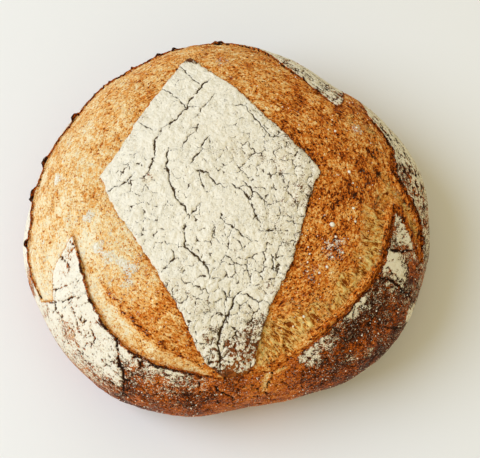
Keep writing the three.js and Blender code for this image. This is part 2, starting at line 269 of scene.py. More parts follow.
def cell_random(cells, seed):
    """A repeatable number from 0 to 1 for each row of whole numbers, by mixing their bits."""
    primes = (73856093, 19349663, 83492791)
    mixed = np.full(len(cells), seed * 2654435761 & 0xFFFFFFFF, np.uint64)
    for column, prime in zip(cells.T, primes):
        mixed ^= (column + 65536).astype(np.uint64) * np.uint64(prime)
        mixed &= np.uint64(0xFFFFFFFF)
    for shift in (13, 16, 11):
        mixed = (mixed ^ (mixed >> np.uint64(shift))) * np.uint64(1274126177)
        mixed &= np.uint64(0xFFFFFFFF)
    return mixed / 4294967295.0


def soft_noise(points, seed):
    """Gradient noise from about -1 to 1. Each lattice corner has a random direction, and the
    value is the blend, by 6t^5 - 15t^4 + 10t^3, of each direction dotted with the offset."""
    cell = np.floor(points).astype(np.int64)
    offset = points - cell
    blend = offset ** 3 * (offset * (offset * 6.0 - 15.0) + 10.0)
    total = np.zeros(len(points))
    for corner in np.ndindex(2, 2, 2):
        step = np.array(corner)
        direction = np.stack([cell_random(cell + step, seed + k) for k in range(3)], 1) - 0.5
        weight = np.where(step == 1, blend, 1.0 - blend).prod(1)
        total += weight * (direction * (offset - step)).sum(1)
    return total * 2.6


def layered(points, size, layers, seed):
    """Noise of a feature size in mm, plus finer layers of half the size and half the height."""
    total = np.zeros(len(points))
    for layer in range(layers):
        total += soft_noise(points * (2 ** layer / size), seed + 7 * layer) / 2 ** layer
    return total


def folds(points, size, seed):
    """Ridged noise from 0 to 1: 1 along the creases where the noise changes sign."""
    return 1.0 - np.abs(np.clip(layered(points, size, 2, seed) * 1.4, -1.0, 1.0))


def cell_borders(u, v, size, seed):
    """Distance in mm from map points to the nearest border of a random cell pattern, and a
    random number for each cell. A border is where the two nearest seeds are equally far."""
    at = np.stack([u, v], 1) / size
    home = np.floor(at).astype(np.int64)
    seeds = []
    for step in np.ndindex(3, 3):
        cell = home + np.array(step) - 1
        keyed = np.concatenate([cell, np.zeros((len(cell), 1), np.int64)], 1)
        jitter = np.stack([cell_random(keyed, seed), cell_random(keyed, seed + 1)], 1)
        seeds.append((cell + 0.1 + 0.8 * jitter, cell_random(keyed, seed + 2)))
    spots = np.stack([spot for spot, _ in seeds])
    gaps = np.linalg.norm(spots - at, axis=2)
    nearest = gaps.argmin(0)
    rows = np.arange(len(at))
    own = spots[nearest, rows]
    border = np.full(len(at), 9.0)
    for spot in spots:
        across = spot - own
        length = np.linalg.norm(across, axis=1)
        reach = (((spot + own) / 2 - at) * across).sum(1) / np.maximum(length, 1e-9)
        border = np.where(length > 1e-6, np.minimum(border, reach), border)
    chosen = np.stack([number for _, number in seeds])[nearest, rows]
    return border * size, chosen


def smooth_curve(stations, step):
    """Points about step mm apart on the Catmull-Rom curve through the stations."""
    knots = np.array(stations, float)
    last = len(knots) - 1
    t = np.linspace(0, last, 60 * last)
    i = np.minimum(t.astype(int), last - 1)
    w = (t - i)[:, None]
    before, start = knots[np.maximum(i - 1, 0)], knots[i]
    end, after = knots[i + 1], knots[np.minimum(i + 2, last)]
    out, back = (end - before) / 2, (after - start) / 2
    fine = (
        (2 * start - 2 * end + out + back) * w ** 3
        + (3 * end - 3 * start - 2 * out - back) * w ** 2
        + out * w
        + start
    )
    walked = np.concatenate([[0], np.cumsum(np.linalg.norm(np.diff(fine, axis=0), axis=1))])
    count = max(2, int(round(walked[-1] / step)) + 1)
    even = np.linspace(0, walked[-1], count)
    return np.stack([np.interp(even, walked, fine[:, k]) for k in range(2)], 1)


def nearest_on(line, u, v):
    """For map points, the distance to a line of points, the distance walked along it to the
    nearest place, and that place. Works through the line's segments one by one."""
    at = np.stack([u, v], 1)
    best = np.full(len(at), 1e9)
    walked = np.zeros(len(at))
    place = np.zeros_like(at)
    passed = 0.0
    for start, end in zip(line[:-1], line[1:]):
        along = end - start
        length = math.hypot(*along)
        share = np.clip(((at - start) @ along) / max(length * length, 1e-12), 0.0, 1.0)
        foot = start + share[:, None] * along
        gap = ((at - foot) ** 2).sum(1)
        nearer = gap < best
        best = np.where(nearer, gap, best)
        walked = np.where(nearer, passed + share * length, walked)
        place[nearer] = foot[nearer]
        passed += length
    return np.sqrt(best), walked, place


def inside(outline, u, v):
    """Whether map points lie in a closed outline, by counting the sides that a ray crosses."""
    hits = np.zeros(len(u), bool)
    for (u0, v0), (u1, v1) in zip(outline, np.roll(outline, -1, axis=0)):
        spans = (v0 > v) != (v1 > v)
        rise = v1 - v0 if abs(v1 - v0) > 1e-12 else 1e-12
        hits ^= spans & (u < (u1 - u0) * (v - v0) / rise + u0)
    return hits


def by_direction(table, u, v):
    """A value read from a table of directions in degrees, smoothly round the loaf."""
    angles, values = np.array(table, float).T
    return np.interp(np.degrees(np.arctan2(v, u)), angles, values)


# ---- The loaf's surface ----


def sample_profile():
    """The half profile from the crown to the middle of the base: distance walked, radius and
    height. Both parts above and below the widest line are superellipse arcs."""
    t = np.linspace(0, math.pi / 2, PROFILE_STEPS + 1)
    crown_r = RADIUS * np.sin(t) ** (2 / CROWN_POWER)
    crown_z = WIDEST_HEIGHT + (HEIGHT - WIDEST_HEIGHT) * np.cos(t) ** (2 / CROWN_POWER)
    foot_r = RADIUS * (BASE_SHARE + (1 - BASE_SHARE) * np.cos(t) ** (2 / FOOT_POWER))
    foot_z = WIDEST_HEIGHT * (1 - np.sin(t) ** (2 / FOOT_POWER))
    r = np.concatenate([crown_r, foot_r[1:], [0.0]])
    z = np.concatenate([crown_z, foot_z[1:], [0.0]])
    s = np.concatenate([[0.0], np.cumsum(np.hypot(np.diff(r), np.diff(z)))])
    return s, r, z


PROFILE_S, PROFILE_R, PROFILE_Z = sample_profile()
PROFILE_OUT_R = -np.gradient(PROFILE_Z, PROFILE_S)
PROFILE_OUT_Z = np.gradient(PROFILE_R, PROFILE_S)
BASE_EDGE = PROFILE_S[-2]
WIDEST_EDGE = PROFILE_S[PROFILE_STEPS]


def outline_factor(angle):
    """How far the outline stands out in a direction, as a factor on the profile's radius."""
    factor = np.ones_like(angle)
    for waves, swell, crest in OUTLINE_WAVES:
        factor = factor + swell / RADIUS * np.cos(waves * (angle - math.radians(crest)))
    return factor


def box_centre():
    """The middle of the outline's box, which the model is centred on."""
    angle = np.linspace(0, 2 * math.pi, 1440)
    reach = RADIUS * outline_factor(angle)
    x, y = reach * np.cos(angle), reach * np.sin(angle)
    return (x.min() + x.max()) / 2, (y.min() + y.max()) / 2


CENTRE = box_centre()


def swelling(u, v):
    """Shallow swelling of the whole crust: a product of two waves that fades at the base."""
    wave_u = np.sin(2 * math.pi * u / SWELLING_U[0] + SWELLING_U[1])
    wave_v = np.cos(2 * math.pi * v / SWELLING_V[0] + SWELLING_V[1])
    return SWELLING_HEIGHT * wave_u * wave_v * (1 - ease(WIDEST_EDGE, BASE_EDGE, np.hypot(u, v)))


def on_loaf(u, v, lift):
    """Points of the loaf at map points, lifted off the skin along the profile's normal."""
    s, angle = np.hypot(u, v), np.arctan2(v, u)
    rise = lift + swelling(u, v)
    reach = np.interp(s, PROFILE_S, PROFILE_R) * outline_factor(angle)
    reach = reach + rise * np.interp(s, PROFILE_S, PROFILE_OUT_R)
    z = np.interp(s, PROFILE_S, PROFILE_Z) + rise * np.interp(s, PROFILE_S, PROFILE_OUT_Z)
    return np.stack(
        [reach * np.cos(angle) - CENTRE[0], reach * np.sin(angle) - CENTRE[1], np.maximum(z, 0)],
        1,
    )


def closed(outline):
    """An outline's points with the first one again at the end."""
    return np.concatenate([outline, outline[:1]])


def opened_outline():
    """The closed line round all that the slashes opened, the panel included: along the lips,
    round both spikes and both sides of the gap in the back right lip."""
    step = OUTLINE_STEP
    lips = {name: smooth_curve(stations, step) for name, stations in LIPS.items()}
    parts = [
        lips["lower_left"][::-1],
        smooth_curve(LEFT_SPIKE_SIDE, step),
        lips["left"][::-1],
        lips["top"],
        smooth_curve(GAP_SIDES[0], step),
        smooth_curve(GAP_SIDES[1], step)[::-1],
        lips["right"],
        smooth_curve(RIGHT_SPIKE_SIDE, step)[::-1],
        lips["lower_right"],
    ]
    return np.concatenate(parts)


def panel_outline():
    """The closed outline of the floured panel."""
    edges = {name: smooth_curve(line, OUTLINE_STEP) for name, line in PANEL_EDGES.items()}
    return np.concatenate([
        edges["upper_left"], edges["lower_left"], edges["lower_right"][::-1],
        edges["upper_right"][::-1],
    ])


OPENED = opened_outline()
PANEL = panel_outline()


def skin_relief(points):
    """Height of the skin's own unevenness: slow swells, wrinkles, and fine blisters."""
    return (
        0.55 * layered(points, 24.0, 2, 11)
        + 0.26 * layered(points, 5.5, 2, 23)
        + 0.16 * folds(points, 2.6, 31)
        - 0.08
    )


def crack_reach(u, v, points, cracks, seed):
    """Distance from map points to the nearest crack, in that crack's half widths there. Its
    line wanders and kinks by noise, and its width is beaded and thins at its ends."""
    bend, kink = 1.3, 0.8
    wander_u = u + bend * layered(points, 6.0, 2, seed)
    wander_u = wander_u + kink * layered(points, 2.4, 2, seed + 30)
    wander_v = v + bend * layered(points, 6.0, 2, seed + 50)
    wander_v = wander_v + kink * layered(points, 2.4, 2, seed + 80)
    beads = np.clip(0.9 + 1.0 * layered(points, 2.6, 2, seed + 90), 0.35, 1.7)
    reach = np.full(len(u), 9.0)
    for width, stations in cracks:
        line = np.array(stations, float)
        length = np.linalg.norm(np.diff(line, axis=0), axis=1).sum()
        gap, walked, _ = nearest_on(line, wander_u, wander_v)
        taper = 0.4 + 0.6 * ease(0.0, 5.0, np.minimum(walked, length - walked))
        half_width = 0.42 * width * beads * taper
        reach = np.minimum(reach, gap / half_width)
    return reach


def crack_web(u, v, points, size, width, seed):
    """Fine cracks between the cells of a warped random pattern, broken by noise: distance to
    them in half widths, distance in mm to the cell's border, and a number for each cell."""
    warp_u = 0.32 * size * layered(points, 0.7 * size, 3, seed)
    warp_v = 0.32 * size * layered(points, 0.7 * size, 3, seed + 2)
    border, chosen = cell_borders(u + warp_u, v + warp_v, size, seed + 4)
    gaping = ease(-0.35, 0.35, layered(points, 0.45 * size, 2, seed + 6))
    return border / (width * np.maximum(gaping, 0.04)), border, chosen


def groove_of(reach):
    """How deep a point lies in a crack, from its distance in half widths: exp(-reach^2)."""
    return np.exp(-reach ** 2)


def groove_mark(reach):
    """The mark groove: 1 on a crack's line, falling evenly to 0 three half widths away."""
    return np.clip(1.0 - reach / 3.0, 0.0, 1.0)


def ring_noise(u, v, along, across, seed):
    """Noise drawn out round the loaf, its features along mm long and across mm wide. Two
    readings of the direction, each broken where the other is whole, are blended into one."""
    mean_reach = 115.0
    s = np.hypot(u, v)
    share = ease(-0.4, 0.4, u / np.maximum(s, 1e-6))
    total = np.zeros(len(u))
    for side, weight in ((1.0, share), (-1.0, 1.0 - share)):
        walked = np.arctan2(side * v, side * u) * mean_reach
        flat = np.stack([walked / along, s / across, np.full(len(u), side)], 1)
        total += weight * layered(flat, 1.0, 3, seed)
    return total


def patches(u, v, points, table, seed):
    """The sum of round patches with ragged edges: each adds its amount inside its radius."""
    ragged = 0.6 * layered(points, 7.0, 4, seed)
    total = np.zeros(len(u))
    for patch_u, patch_v, radius, amount in table:
        gap = np.hypot(u - patch_u, v - patch_v) / radius + ragged
        total += amount * (1 - ease(0.55, 1.35, gap))
    return total


def rim_skin(u, v, points, lip_gap):
    """Bake and flour of the rim's skin at map points, reach to its cracks in half widths, and
    where a late crack shows golden crumb, with a warmer surround. Webs of fine cracks cover
    the rim, finer at the right, where furrows run round it too. Flour follows the direction,
    is thicker beside the lips, thins down the side, and is streaked round the loaf."""
    bake = by_direction(RIM_BAKE, u, v) + 0.12 * layered(points, 18.0, 3, 71)
    golden_reach = crack_reach(u, v, points, GOLDEN_CRACKS, 75)
    golden = groove_of(golden_reach)
    bake = bake - 0.16 * groove_of(golden_reach / 6.0)
    bake = bake + (GOLDEN_BAKE + 0.2 * layered(points, 3.0, 2, 77) - bake) * golden

    web, _, _ = crack_web(u, v, points, 13.0, 0.6, 81)
    fine_web, _, _ = crack_web(u, v, points, 5.0, 0.45, 85)
    angle = np.degrees(np.arctan2(v, u))
    wrinkled = ease(-20, 10, angle) * (1 - ease(90, 120, angle))
    fine_web = fine_web / np.maximum(0.6 * wrinkled, 0.05) + 0.35
    furrows = np.abs(ring_noise(u, v, 13.0, 2.4, 87)) / np.maximum(0.12 * wrinkled, 0.01)
    cracks = crack_reach(u, v, points, RIM_CRACKS, 201)
    reach = np.minimum.reduce([web + 0.25, fine_web, cracks, furrows + 0.2])

    flour = by_direction(RIM_DUST, u, v) * (1 - 0.65 * ease(144.0, 172.0, np.hypot(u, v)))
    flour = flour + by_direction(LIP_DUST, u, v) * np.exp(-lip_gap / 8.0)
    flour = flour + patches(u, v, points, RIM_FLOUR, 61)
    flour = flour + 0.24 * ring_noise(u, v, 6.0, 1.6, 67) + 0.18 * layered(points, 2.6, 3, 69)
    flour = flour + 0.22 * np.clip(ring_noise(u, v, 3.5, 0.9, 73), -1.0, 0.2)
    flour = np.clip(flour, 0, 1) * (1 - 0.7 * groove_of(0.9 * reach)) * (1 - golden)
    return bake, flour, reach, golden


# ---- Meshes ----


def grid_quads(rows, columns, wrap_rows=False, wrap_columns=False):
    """Corner numbers of the quads of a grid whose points are numbered row by row."""
    i = np.arange(rows if wrap_rows else rows - 1)[:, None]
    j = np.arange(columns if wrap_columns else columns - 1)[None, :]
    i_next, j_next = (i + 1) % rows, (j + 1) % columns
    corners = [i * columns + j, i_next * columns + j, i_next * columns + j_next,
               i * columns + j_next]
    return np.stack([np.broadcast_to(c, (i.size, j.size)).ravel() for c in corners], 1)


def ring_fan(ring, tip):
    """Triangles from each side of a closed ring of point numbers to one tip point."""
    return np.stack([ring, np.roll(ring, -1), np.full(len(ring), tip)], 1)


def crust_marks(bake, flour, groove, added=()):
    """The marks that every piece has. Points added after the others, such as the tips of
    fans, have no groove and take their bake and flour from the pairs in added."""
    added = np.array(added, float).reshape(-1, 2)
    return {"bake": np.append(bake, added[:, 0]), "flour": np.append(flour, added[:, 1]),
            "groove": np.append(groove, np.zeros(len(added)))}


def make_piece(name, points, quads, triangles, marks, material):
    """A mesh piece from points in mm, quads and triangles, with a number for each point under
    each mark's name. Its faces are turned round if their volume comes out negative."""
    quads = np.asarray(quads, np.int64).reshape(-1, 4)
    triangles = np.asarray(triangles, np.int64).reshape(-1, 3)
    faces = [quads, triangles]
    split = np.concatenate([quads[:, [0, 1, 2]], quads[:, [0, 2, 3]], triangles])
    a, b, c = points[split[:, 0]], points[split[:, 1]], points[split[:, 2]]
    if (a * np.cross(b, c)).sum() < 0:
        faces = [f[:, ::-1] for f in faces]
    mesh = bpy.data.meshes.new(name)
    mesh.vertices.add(len(points))
    mesh.vertices.foreach_set("co", (points * MM).astype(np.float32).ravel())
    loops = np.concatenate([f.ravel() for f in faces])
    sizes = np.concatenate([np.full(len(f), f.shape[1]) for f in faces])
    mesh.loops.add(len(loops))
    mesh.loops.foreach_set("vertex_index", loops.astype(np.int32))
    mesh.polygons.add(len(sizes))
    mesh.polygons.foreach_set("loop_start", (np.cumsum(sizes) - sizes).astype(np.int32))
    mesh.polygons.foreach_set("use_smooth", np.ones(len(sizes), bool))
    for mark, values in marks.items():
        attribute = mesh.attributes.new(mark, "FLOAT", "POINT")
        attribute.data.foreach_set("value", np.asarray(values, np.float32))
    mesh.update(calc_edges=True)
    mesh.validate()
    mesh.materials.append(material)
    piece = bpy.data.objects.new(name, mesh)
    bpy.context.scene.collection.objects.link(piece)
    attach(piece, BODY)
    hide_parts(NODE)


# ---- Materials ----

BUMP_HEIGHT = 1.5  # mm, of the fine grain's relief
FLOUR_ROUGHNESS = 0.95


def from_srgb(red, green, blue):
    """A linear colour from the 0 to 255 values of a paint chart."""
    values = np.array([red, green, blue]) / 255
    linear = np.where(values <= 0.04045, values / 12.92, ((values + 0.055) / 1.055) ** 2.4)
    return tuple(float(x) for x in linear)


class Wire:
    """An output socket in a material. Arithmetic on it adds Math nodes."""

    def __init__(self, tree, socket):
        self.tree = tree
        self.socket = socket

    def node(self, kind, settings, inputs, output=0):
        """Adds any node: its settings first, then the values or wires of its sockets."""
        return add_node(self.tree, kind, settings, inputs, output)

    def math(self, operation, *values):
        """A Math node on values or wires, in the order of its sockets."""
        return self.node("ShaderNodeMath", {"operation": operation}, dict(enumerate(values)))

    def vector(self, operation, *values):
        """A Vector Math node, with its number output for a length."""
        return self.node("ShaderNodeVectorMath", {"operation": operation},
                         dict(enumerate(values)), 1 if operation == "LENGTH" else 0)

    def __add__(self, other):
        return self.math("ADD", self, other)

    def __sub__(self, other):
        return self.math("SUBTRACT", self, other)

    def __rsub__(self, other):
        return self.math("SUBTRACT", other, self)

    def __mul__(self, other):
        return self.math("MULTIPLY", self, other)

    def __truediv__(self, other):
        return self.math("DIVIDE", self, other)

    def __abs__(self):
        return self.math("ABSOLUTE", self)

    __radd__ = __add__
    __rmul__ = __mul__

    def between(self, low, high):
        """0 below low, 1 above high, and smooth between."""
        settings = {"interpolation_type": "SMOOTHSTEP"}
        return self.node("ShaderNodeMapRange", settings, {0: self, 1: low, 2: high})


def add_node(tree, kind, settings, inputs, output=0):
    """Adds a node to a tree and returns a wire from one of its outputs."""
    node = tree.nodes.new(kind)
    for name, value in settings.items():
        if name == "stops":
            ramp = node.color_ramp
            while len(ramp.elements) < len(value):
                ramp.elements.new(1.0)
            for element, (position, colour) in zip(ramp.elements, value):
                element.position = position
                element.color = (*colour, 1.0)
        else:
            setattr(node, name, value)
    for key, value in inputs.items():
        socket = node.inputs[key]
        if isinstance(value, Wire):
            tree.links.new(value.socket, socket)
        else:
            socket.default_value = value
    return Wire(tree, node.outputs[output])


def mix_colours(share, first, second):
    """A Mix node on colours: first where share is 0, second where it is 1."""
    wire = next(value for value in (share, first, second) if isinstance(value, Wire))
    sides = {0: share}
    for key, colour in ((6, first), (7, second)):
        sides[key] = colour if isinstance(colour, Wire) else (*colour, 1.0)
    return wire.node("ShaderNodeMix", {"data_type": "RGBA"}, sides, 2)


def bake_stops(colours):
    """The colours that crust goes through as it bakes, with the place of each on the ramp."""
    return (
        (0.0, colours.crumb_pale), (0.22, colours.crumb_gold), (0.42, colours.golden),
        (0.58, colours.amber), (0.74, colours.chestnut), (0.88, colours.mahogany),
        (1.0, colours.char),
    )


def torn_stops(colours):
    """The colours of freshly torn crumb, from its pits, whose dark is painted shade, to its
    fibres.
    """
    return ((0.0, colours.torn_pit), (0.42, colours.torn), (1.0, colours.torn_fibre))


def noise_of(where, size, detail, rough=0.5, warp=0.0):
    """Noise from about -0.5 to 0.5 over a wire of places, its features size mm across."""
    values = {"Vector": where, "Scale": 1 / (size * MM), "Detail": detail,
              "Roughness": rough, "Distortion": warp}
    return where.node("ShaderNodeTexNoise", {}, values) - 0.5


def weave_of(where):
    """Noise drawn out round the loaf, as opened crumb is: a fine and a coarse one, summed."""
    even_radius = 80.0  # mm from the axis, where features are as long as they say
    flat = where.vector("MULTIPLY", where, (1.0, 1.0, 0.0))
    outwards = where.vector("NORMALIZE", flat)
    radius = where.node("ShaderNodeCombineXYZ", {}, {2: where.vector("LENGTH", flat) / MM})
    total = 0.0
    for around, across, warp, share in ((2.8, 1.0, 0.9, 1.0), (6.0, 2.2, 1.2, 0.75)):
        turns = even_radius / around
        ring = where.vector("MULTIPLY", outwards, (turns, turns, 0.0))
        ring = where.vector("MULTIPLY_ADD", radius, (0.0, 0.0, 1 / across), ring)
        total = total + noise_of(ring, 1 / MM, 2.0, 0.6, warp) * share
    return total


def mark_of(where, label):
    """A wire from the number that the mesh holds for each point under a label."""
    return where.node("ShaderNodeAttribute", {"attribute_name": label}, {}, 2)


def torn_crumb(where, colours, middle, slow, dark):
    """Colour of freshly torn crumb, its height, and how far it shows. The marks along and
    inward lay fibres across it, curled ones and hairs, the mark pit darkens its holes with
    painted shade, and the mark torn says where it is. Dark is how far the crust's own grain
    darkens it."""
    pulled = {0: mark_of(where, "along") / 3.6, 1: mark_of(where, "inward") / 11.0}
    pulled = where.node("ShaderNodeCombineXYZ", {}, pulled)
    curled = 1.0 - abs(noise_of(pulled, 1 / MM, 1.0, 0.5, 0.8)).between(0.015, 0.07)
    hairs = 1.0 - abs(noise_of(pulled, 0.5 / MM, 1.0, 0.5, 0.6)).between(0.01, 0.09)
    torn = mark_of(where, "torn")
    shown = (torn + middle * 1.7 + slow * 2.0).between(0.15, 0.85) * torn.between(0.0, 0.15)
    # Painted shade in the holes of torn crumb, read from the mark pit.
    pit_shade = (mark_of(where, "pit") + middle * 1.6).between(0.3, 0.8)
    fresh = 0.24 + curled * 0.8 + hairs * 0.5 - dark - pit_shade * 0.5
    fresh = fresh.node("ShaderNodeValToRGB", {"stops": torn_stops(colours)}, {0: fresh})
    return fresh, (curled + hairs * 0.4) * shown * 0.3, shown


def bare_crust(where, colours, grain, contrast, creases, strands):
    """Colour and height of crust without flour, and its fine and slow noise. The mark bake,
    unsettled by grain and ticks, and darkened in the sunken creases as painted shade, picks a
    colour of the baking ramp."""
    bake = mark_of(where, "bake")
    slow = noise_of(where, 12.0, 3.0)
    middle = noise_of(where, 3.4 * grain, 3.0, 0.6, 0.8)
    fine = noise_of(where, grain, 3.0, 0.65)
    finest = noise_of(where, 0.55 * grain, 2.0, 0.6)
    crease = 1.0 - abs(noise_of(where, 2.4 * grain, 2.0, 0.55, 1.6)).between(0.0, 0.05)
    crease = crease * (slow + 0.5).between(0.35, 0.6)
    tick = noise_of(where, 0.9 * grain, 1.0, 0.5, 0.8).between(0.08, 0.18)
    height = fine * 0.6 + finest * 0.3 - crease * creases * 0.4 - tick * 0.2
    busy = fine * contrast + finest * (0.5 * contrast) + middle * (0.6 * contrast)
    if strands:
        weave = weave_of(where)
        height = height - weave * 0.6
        busy = busy * 0.6 + weave * (bake * 0.9 + 0.2) * contrast
    # The creases add to the tone as painted shade, as well as sinking in the height above.
    tone = bake + slow * 0.35 + busy + crease * creases + tick * (0.3 * contrast)
    colour = tone.node("ShaderNodeValToRGB", {"stops": bake_stops(colours)}, {0: tone})
    if strands:
        dark = busy * 0.5 + middle * 1.0 + tick * 0.7
        fresh, fibres, shown = torn_crumb(where, colours, middle, slow, dark)
        height = height + fibres
        colour = mix_colours(shown * 0.85, colour, fresh)
    return colour, height, fine, slow


def crust_material(name, colours, grain=1.3, contrast=0.9, creases=0.2, flour_grain=0.8,
                   roughness=0.5, gloss=0.12, strands=False, worn_dark=0.0, pores=0.0,
                   haze_share=0.26, flecks=0.0, clumps=1.1, crack=None, thin=None):
    """Baked crust, with torn crumb where strands are asked for. The mark flour is a cover of
    flour that breaks into specks where it is thin, and the mark groove is crack, in the
    colour crack; on the opened crumb it marks pits, so that colour is painted shade in them.
    Grain and flour_grain are the sizes in mm of the fine grain, contrast how strongly grain
    darkens, and creases how deep the creases sink and how dark they are painted as shade.
    Worn_dark is how far the crust under the flour goes to the crack's colour, pores how dark
    its pores are, flecks how pale its flecks, which are partly dry flour and partly painted
    highlights, and clumps how uneven its flour. Flour too thin to cover lies as a haze in
    the colour thin, haze_share of it at most."""
    crack = crack or colours.deep
    thin = thin or colours.flour_shade
    material = bpy.data.materials.new(name)
    material.use_nodes = True
    tree = material.node_tree
    tree.nodes.clear()
    where = add_node(tree, "ShaderNodeTexCoord", {}, {}, 3)
    where = where.node("ShaderNodeMapping", {}, {0: where, 1: (0.0, 0.0, -HEIGHT * MM / 2)})
    colour, height, fine, slow = bare_crust(where, colours, grain, contrast, creases, strands)
    if worn_dark:
        colour = mix_colours(worn_dark, colour, crack)

    flour = mark_of(where, "flour")
    speck = noise_of(where, flour_grain, 3.0, 0.65)
    thick = flour + speck * 1.5 + noise_of(where, 3.2, 3.0, 0.6) * clumps
    cover = thick.between(0.42, 0.58)
    haze = thick.between(0.25, 0.65) * (flour.between(0.0, 0.12) * haze_share)
    powder = (speck + flour * 0.5 - 0.39).between(-0.28, 0.04)
    powder = mix_colours(powder, thin, colours.flour)
    colour = mix_colours(haze, colour, thin)
    colour = mix_colours(cover * 0.95, colour, powder)
    if pores:
        pitted = noise_of(where, 0.8, 1.5, 0.6).between(0.11, 0.20)
        pitted = pitted * (slow + 0.5).between(0.35, 0.75)
        colour = mix_colours(pitted * pores, colour, crack)
        height = height - pitted * 0.3
    # Pale flecks: partly dry flour, partly painted highlights standing in for the glossy crust's
    # glints.
    if flecks:
        fleck = noise_of(where, 0.85, 1.0, 0.5).between(0.15, 0.21)
        fleck = fleck * (slow + 0.5).between(0.3, 0.6)
        colour = mix_colours(fleck * flecks, colour, colours.flour)
    split = mark_of(where, "groove") + noise_of(where, 0.8, 2.0, 0.6) * 0.8
    split = split.between(0.60, 0.80)
    colour = mix_colours(split, colour, crack)
    height = height + speck * 0.35 + cover * 0.22 - split * 0.3

    relief = {"Strength": 0.8, "Distance": BUMP_HEIGHT * MM, "Height": height}
    bump = height.node("ShaderNodeBump", {}, relief)
    rough = cover * (FLOUR_ROUGHNESS - roughness) + fine * 0.5 + roughness
    shader = tree.nodes.new("ShaderNodeBsdfPrincipled")
    shader.inputs["Specular IOR Level"].default_value = gloss
    tree.links.new(colour.socket, shader.inputs["Base Color"])
    tree.links.new(rough.socket, shader.inputs["Roughness"])
    tree.links.new(bump.socket, shader.inputs["Normal"])
    output = tree.nodes.new("ShaderNodeOutputMaterial")
    tree.links.new(shader.outputs[0], output.inputs[0])
    return material


def rim_material(name, colours):
    """The rim's and the ears' skin: dark, faintly glossy, with pale flecks under the flour that
    are partly dry flour and partly painted highlights.
    """
    return crust_material(name, colours, grain=1.1, contrast=1.0, creases=0.1, roughness=0.42,
                          gloss=0.05, haze_share=0.3, flecks=0.6, clumps=0.8)


# ---- Settings a user would change ----


def colour_setting(name, description, red, green, blue):
    """A colour property whose default is given as on a paint chart, 0 to 255."""
    return FloatVectorProperty(
        name=name, description=description, subtype="COLOR", size=3, min=0.0, max=1.0,
        default=from_srgb(red, green, blue),
    )


class LoafColours(bpy.types.PropertyGroup):
    """Colours of crust from pale to charred, and of flour."""

    crumb_pale: colour_setting("Pale crumb", "Newest crumb in a tear", 254, 238, 196)
    crumb_gold: colour_setting("Gold crumb", "Lightly coloured crumb", 250, 214, 148)
    golden: colour_setting("Golden", "Golden crust", 240, 174, 88)
    amber: colour_setting("Amber", "Amber crust", 222, 132, 42)
    chestnut: colour_setting("Chestnut", "Well baked crust", 198, 94, 18)
    mahogany: colour_setting("Mahogany", "Dark crust", 128, 56, 4)
    char: colour_setting("Char", "Scorched edges", 56, 24, 6)
    # The darkest torn crumb; in the holes of torn crumb it is painted shade.
    torn_pit: colour_setting("Torn pit", "Pits in torn crumb", 136, 64, 6)
    torn: colour_setting("Torn crumb", "Torn crumb", 246, 168, 66)
    torn_fibre: colour_setting("Torn fibre", "Fibres pulled across torn crumb", 255, 226, 144)
    flour: colour_setting("Flour", "Loose flour", 255, 247, 224)
    flour_shade: colour_setting("Thin flour", "Flour that the crust shows through", 236, 212, 164)
    crack: colour_setting("Crack", "Crack in the floured skin", 82, 60, 34)
    deep: colour_setting("Deep crack", "Crack in bare crust", 40, 22, 10)
    floor: colour_setting("Floor", "The pale floor", 236, 235, 230)


class LoafSettings(bpy.types.PropertyGroup):
    """Sizes of the loaf's surface features, in mm."""

    ear_rise: FloatProperty(
        name="Ear rise", description="Height of the curled lips, in mm", default=2.6, min=0.5,
        max=6.0,
    )
    crack_depth: FloatProperty(
        name="Crack depth", description="Depth of the panel's cracks, in mm", default=1.1,
        min=0.2, max=3.0,
    )
    strand_height: FloatProperty(
        name="Strand height", description="Height of the torn strands, in mm", default=0.7,
        min=0.1, max=2.0,
    )
    grain_count: IntProperty(
        name="Flour grains", description="Loose grains tried on crumb and rim", default=900,
        min=50, max=4000,
    )
    colours: PointerProperty(type=LoafColours)


# ---- Operators ----


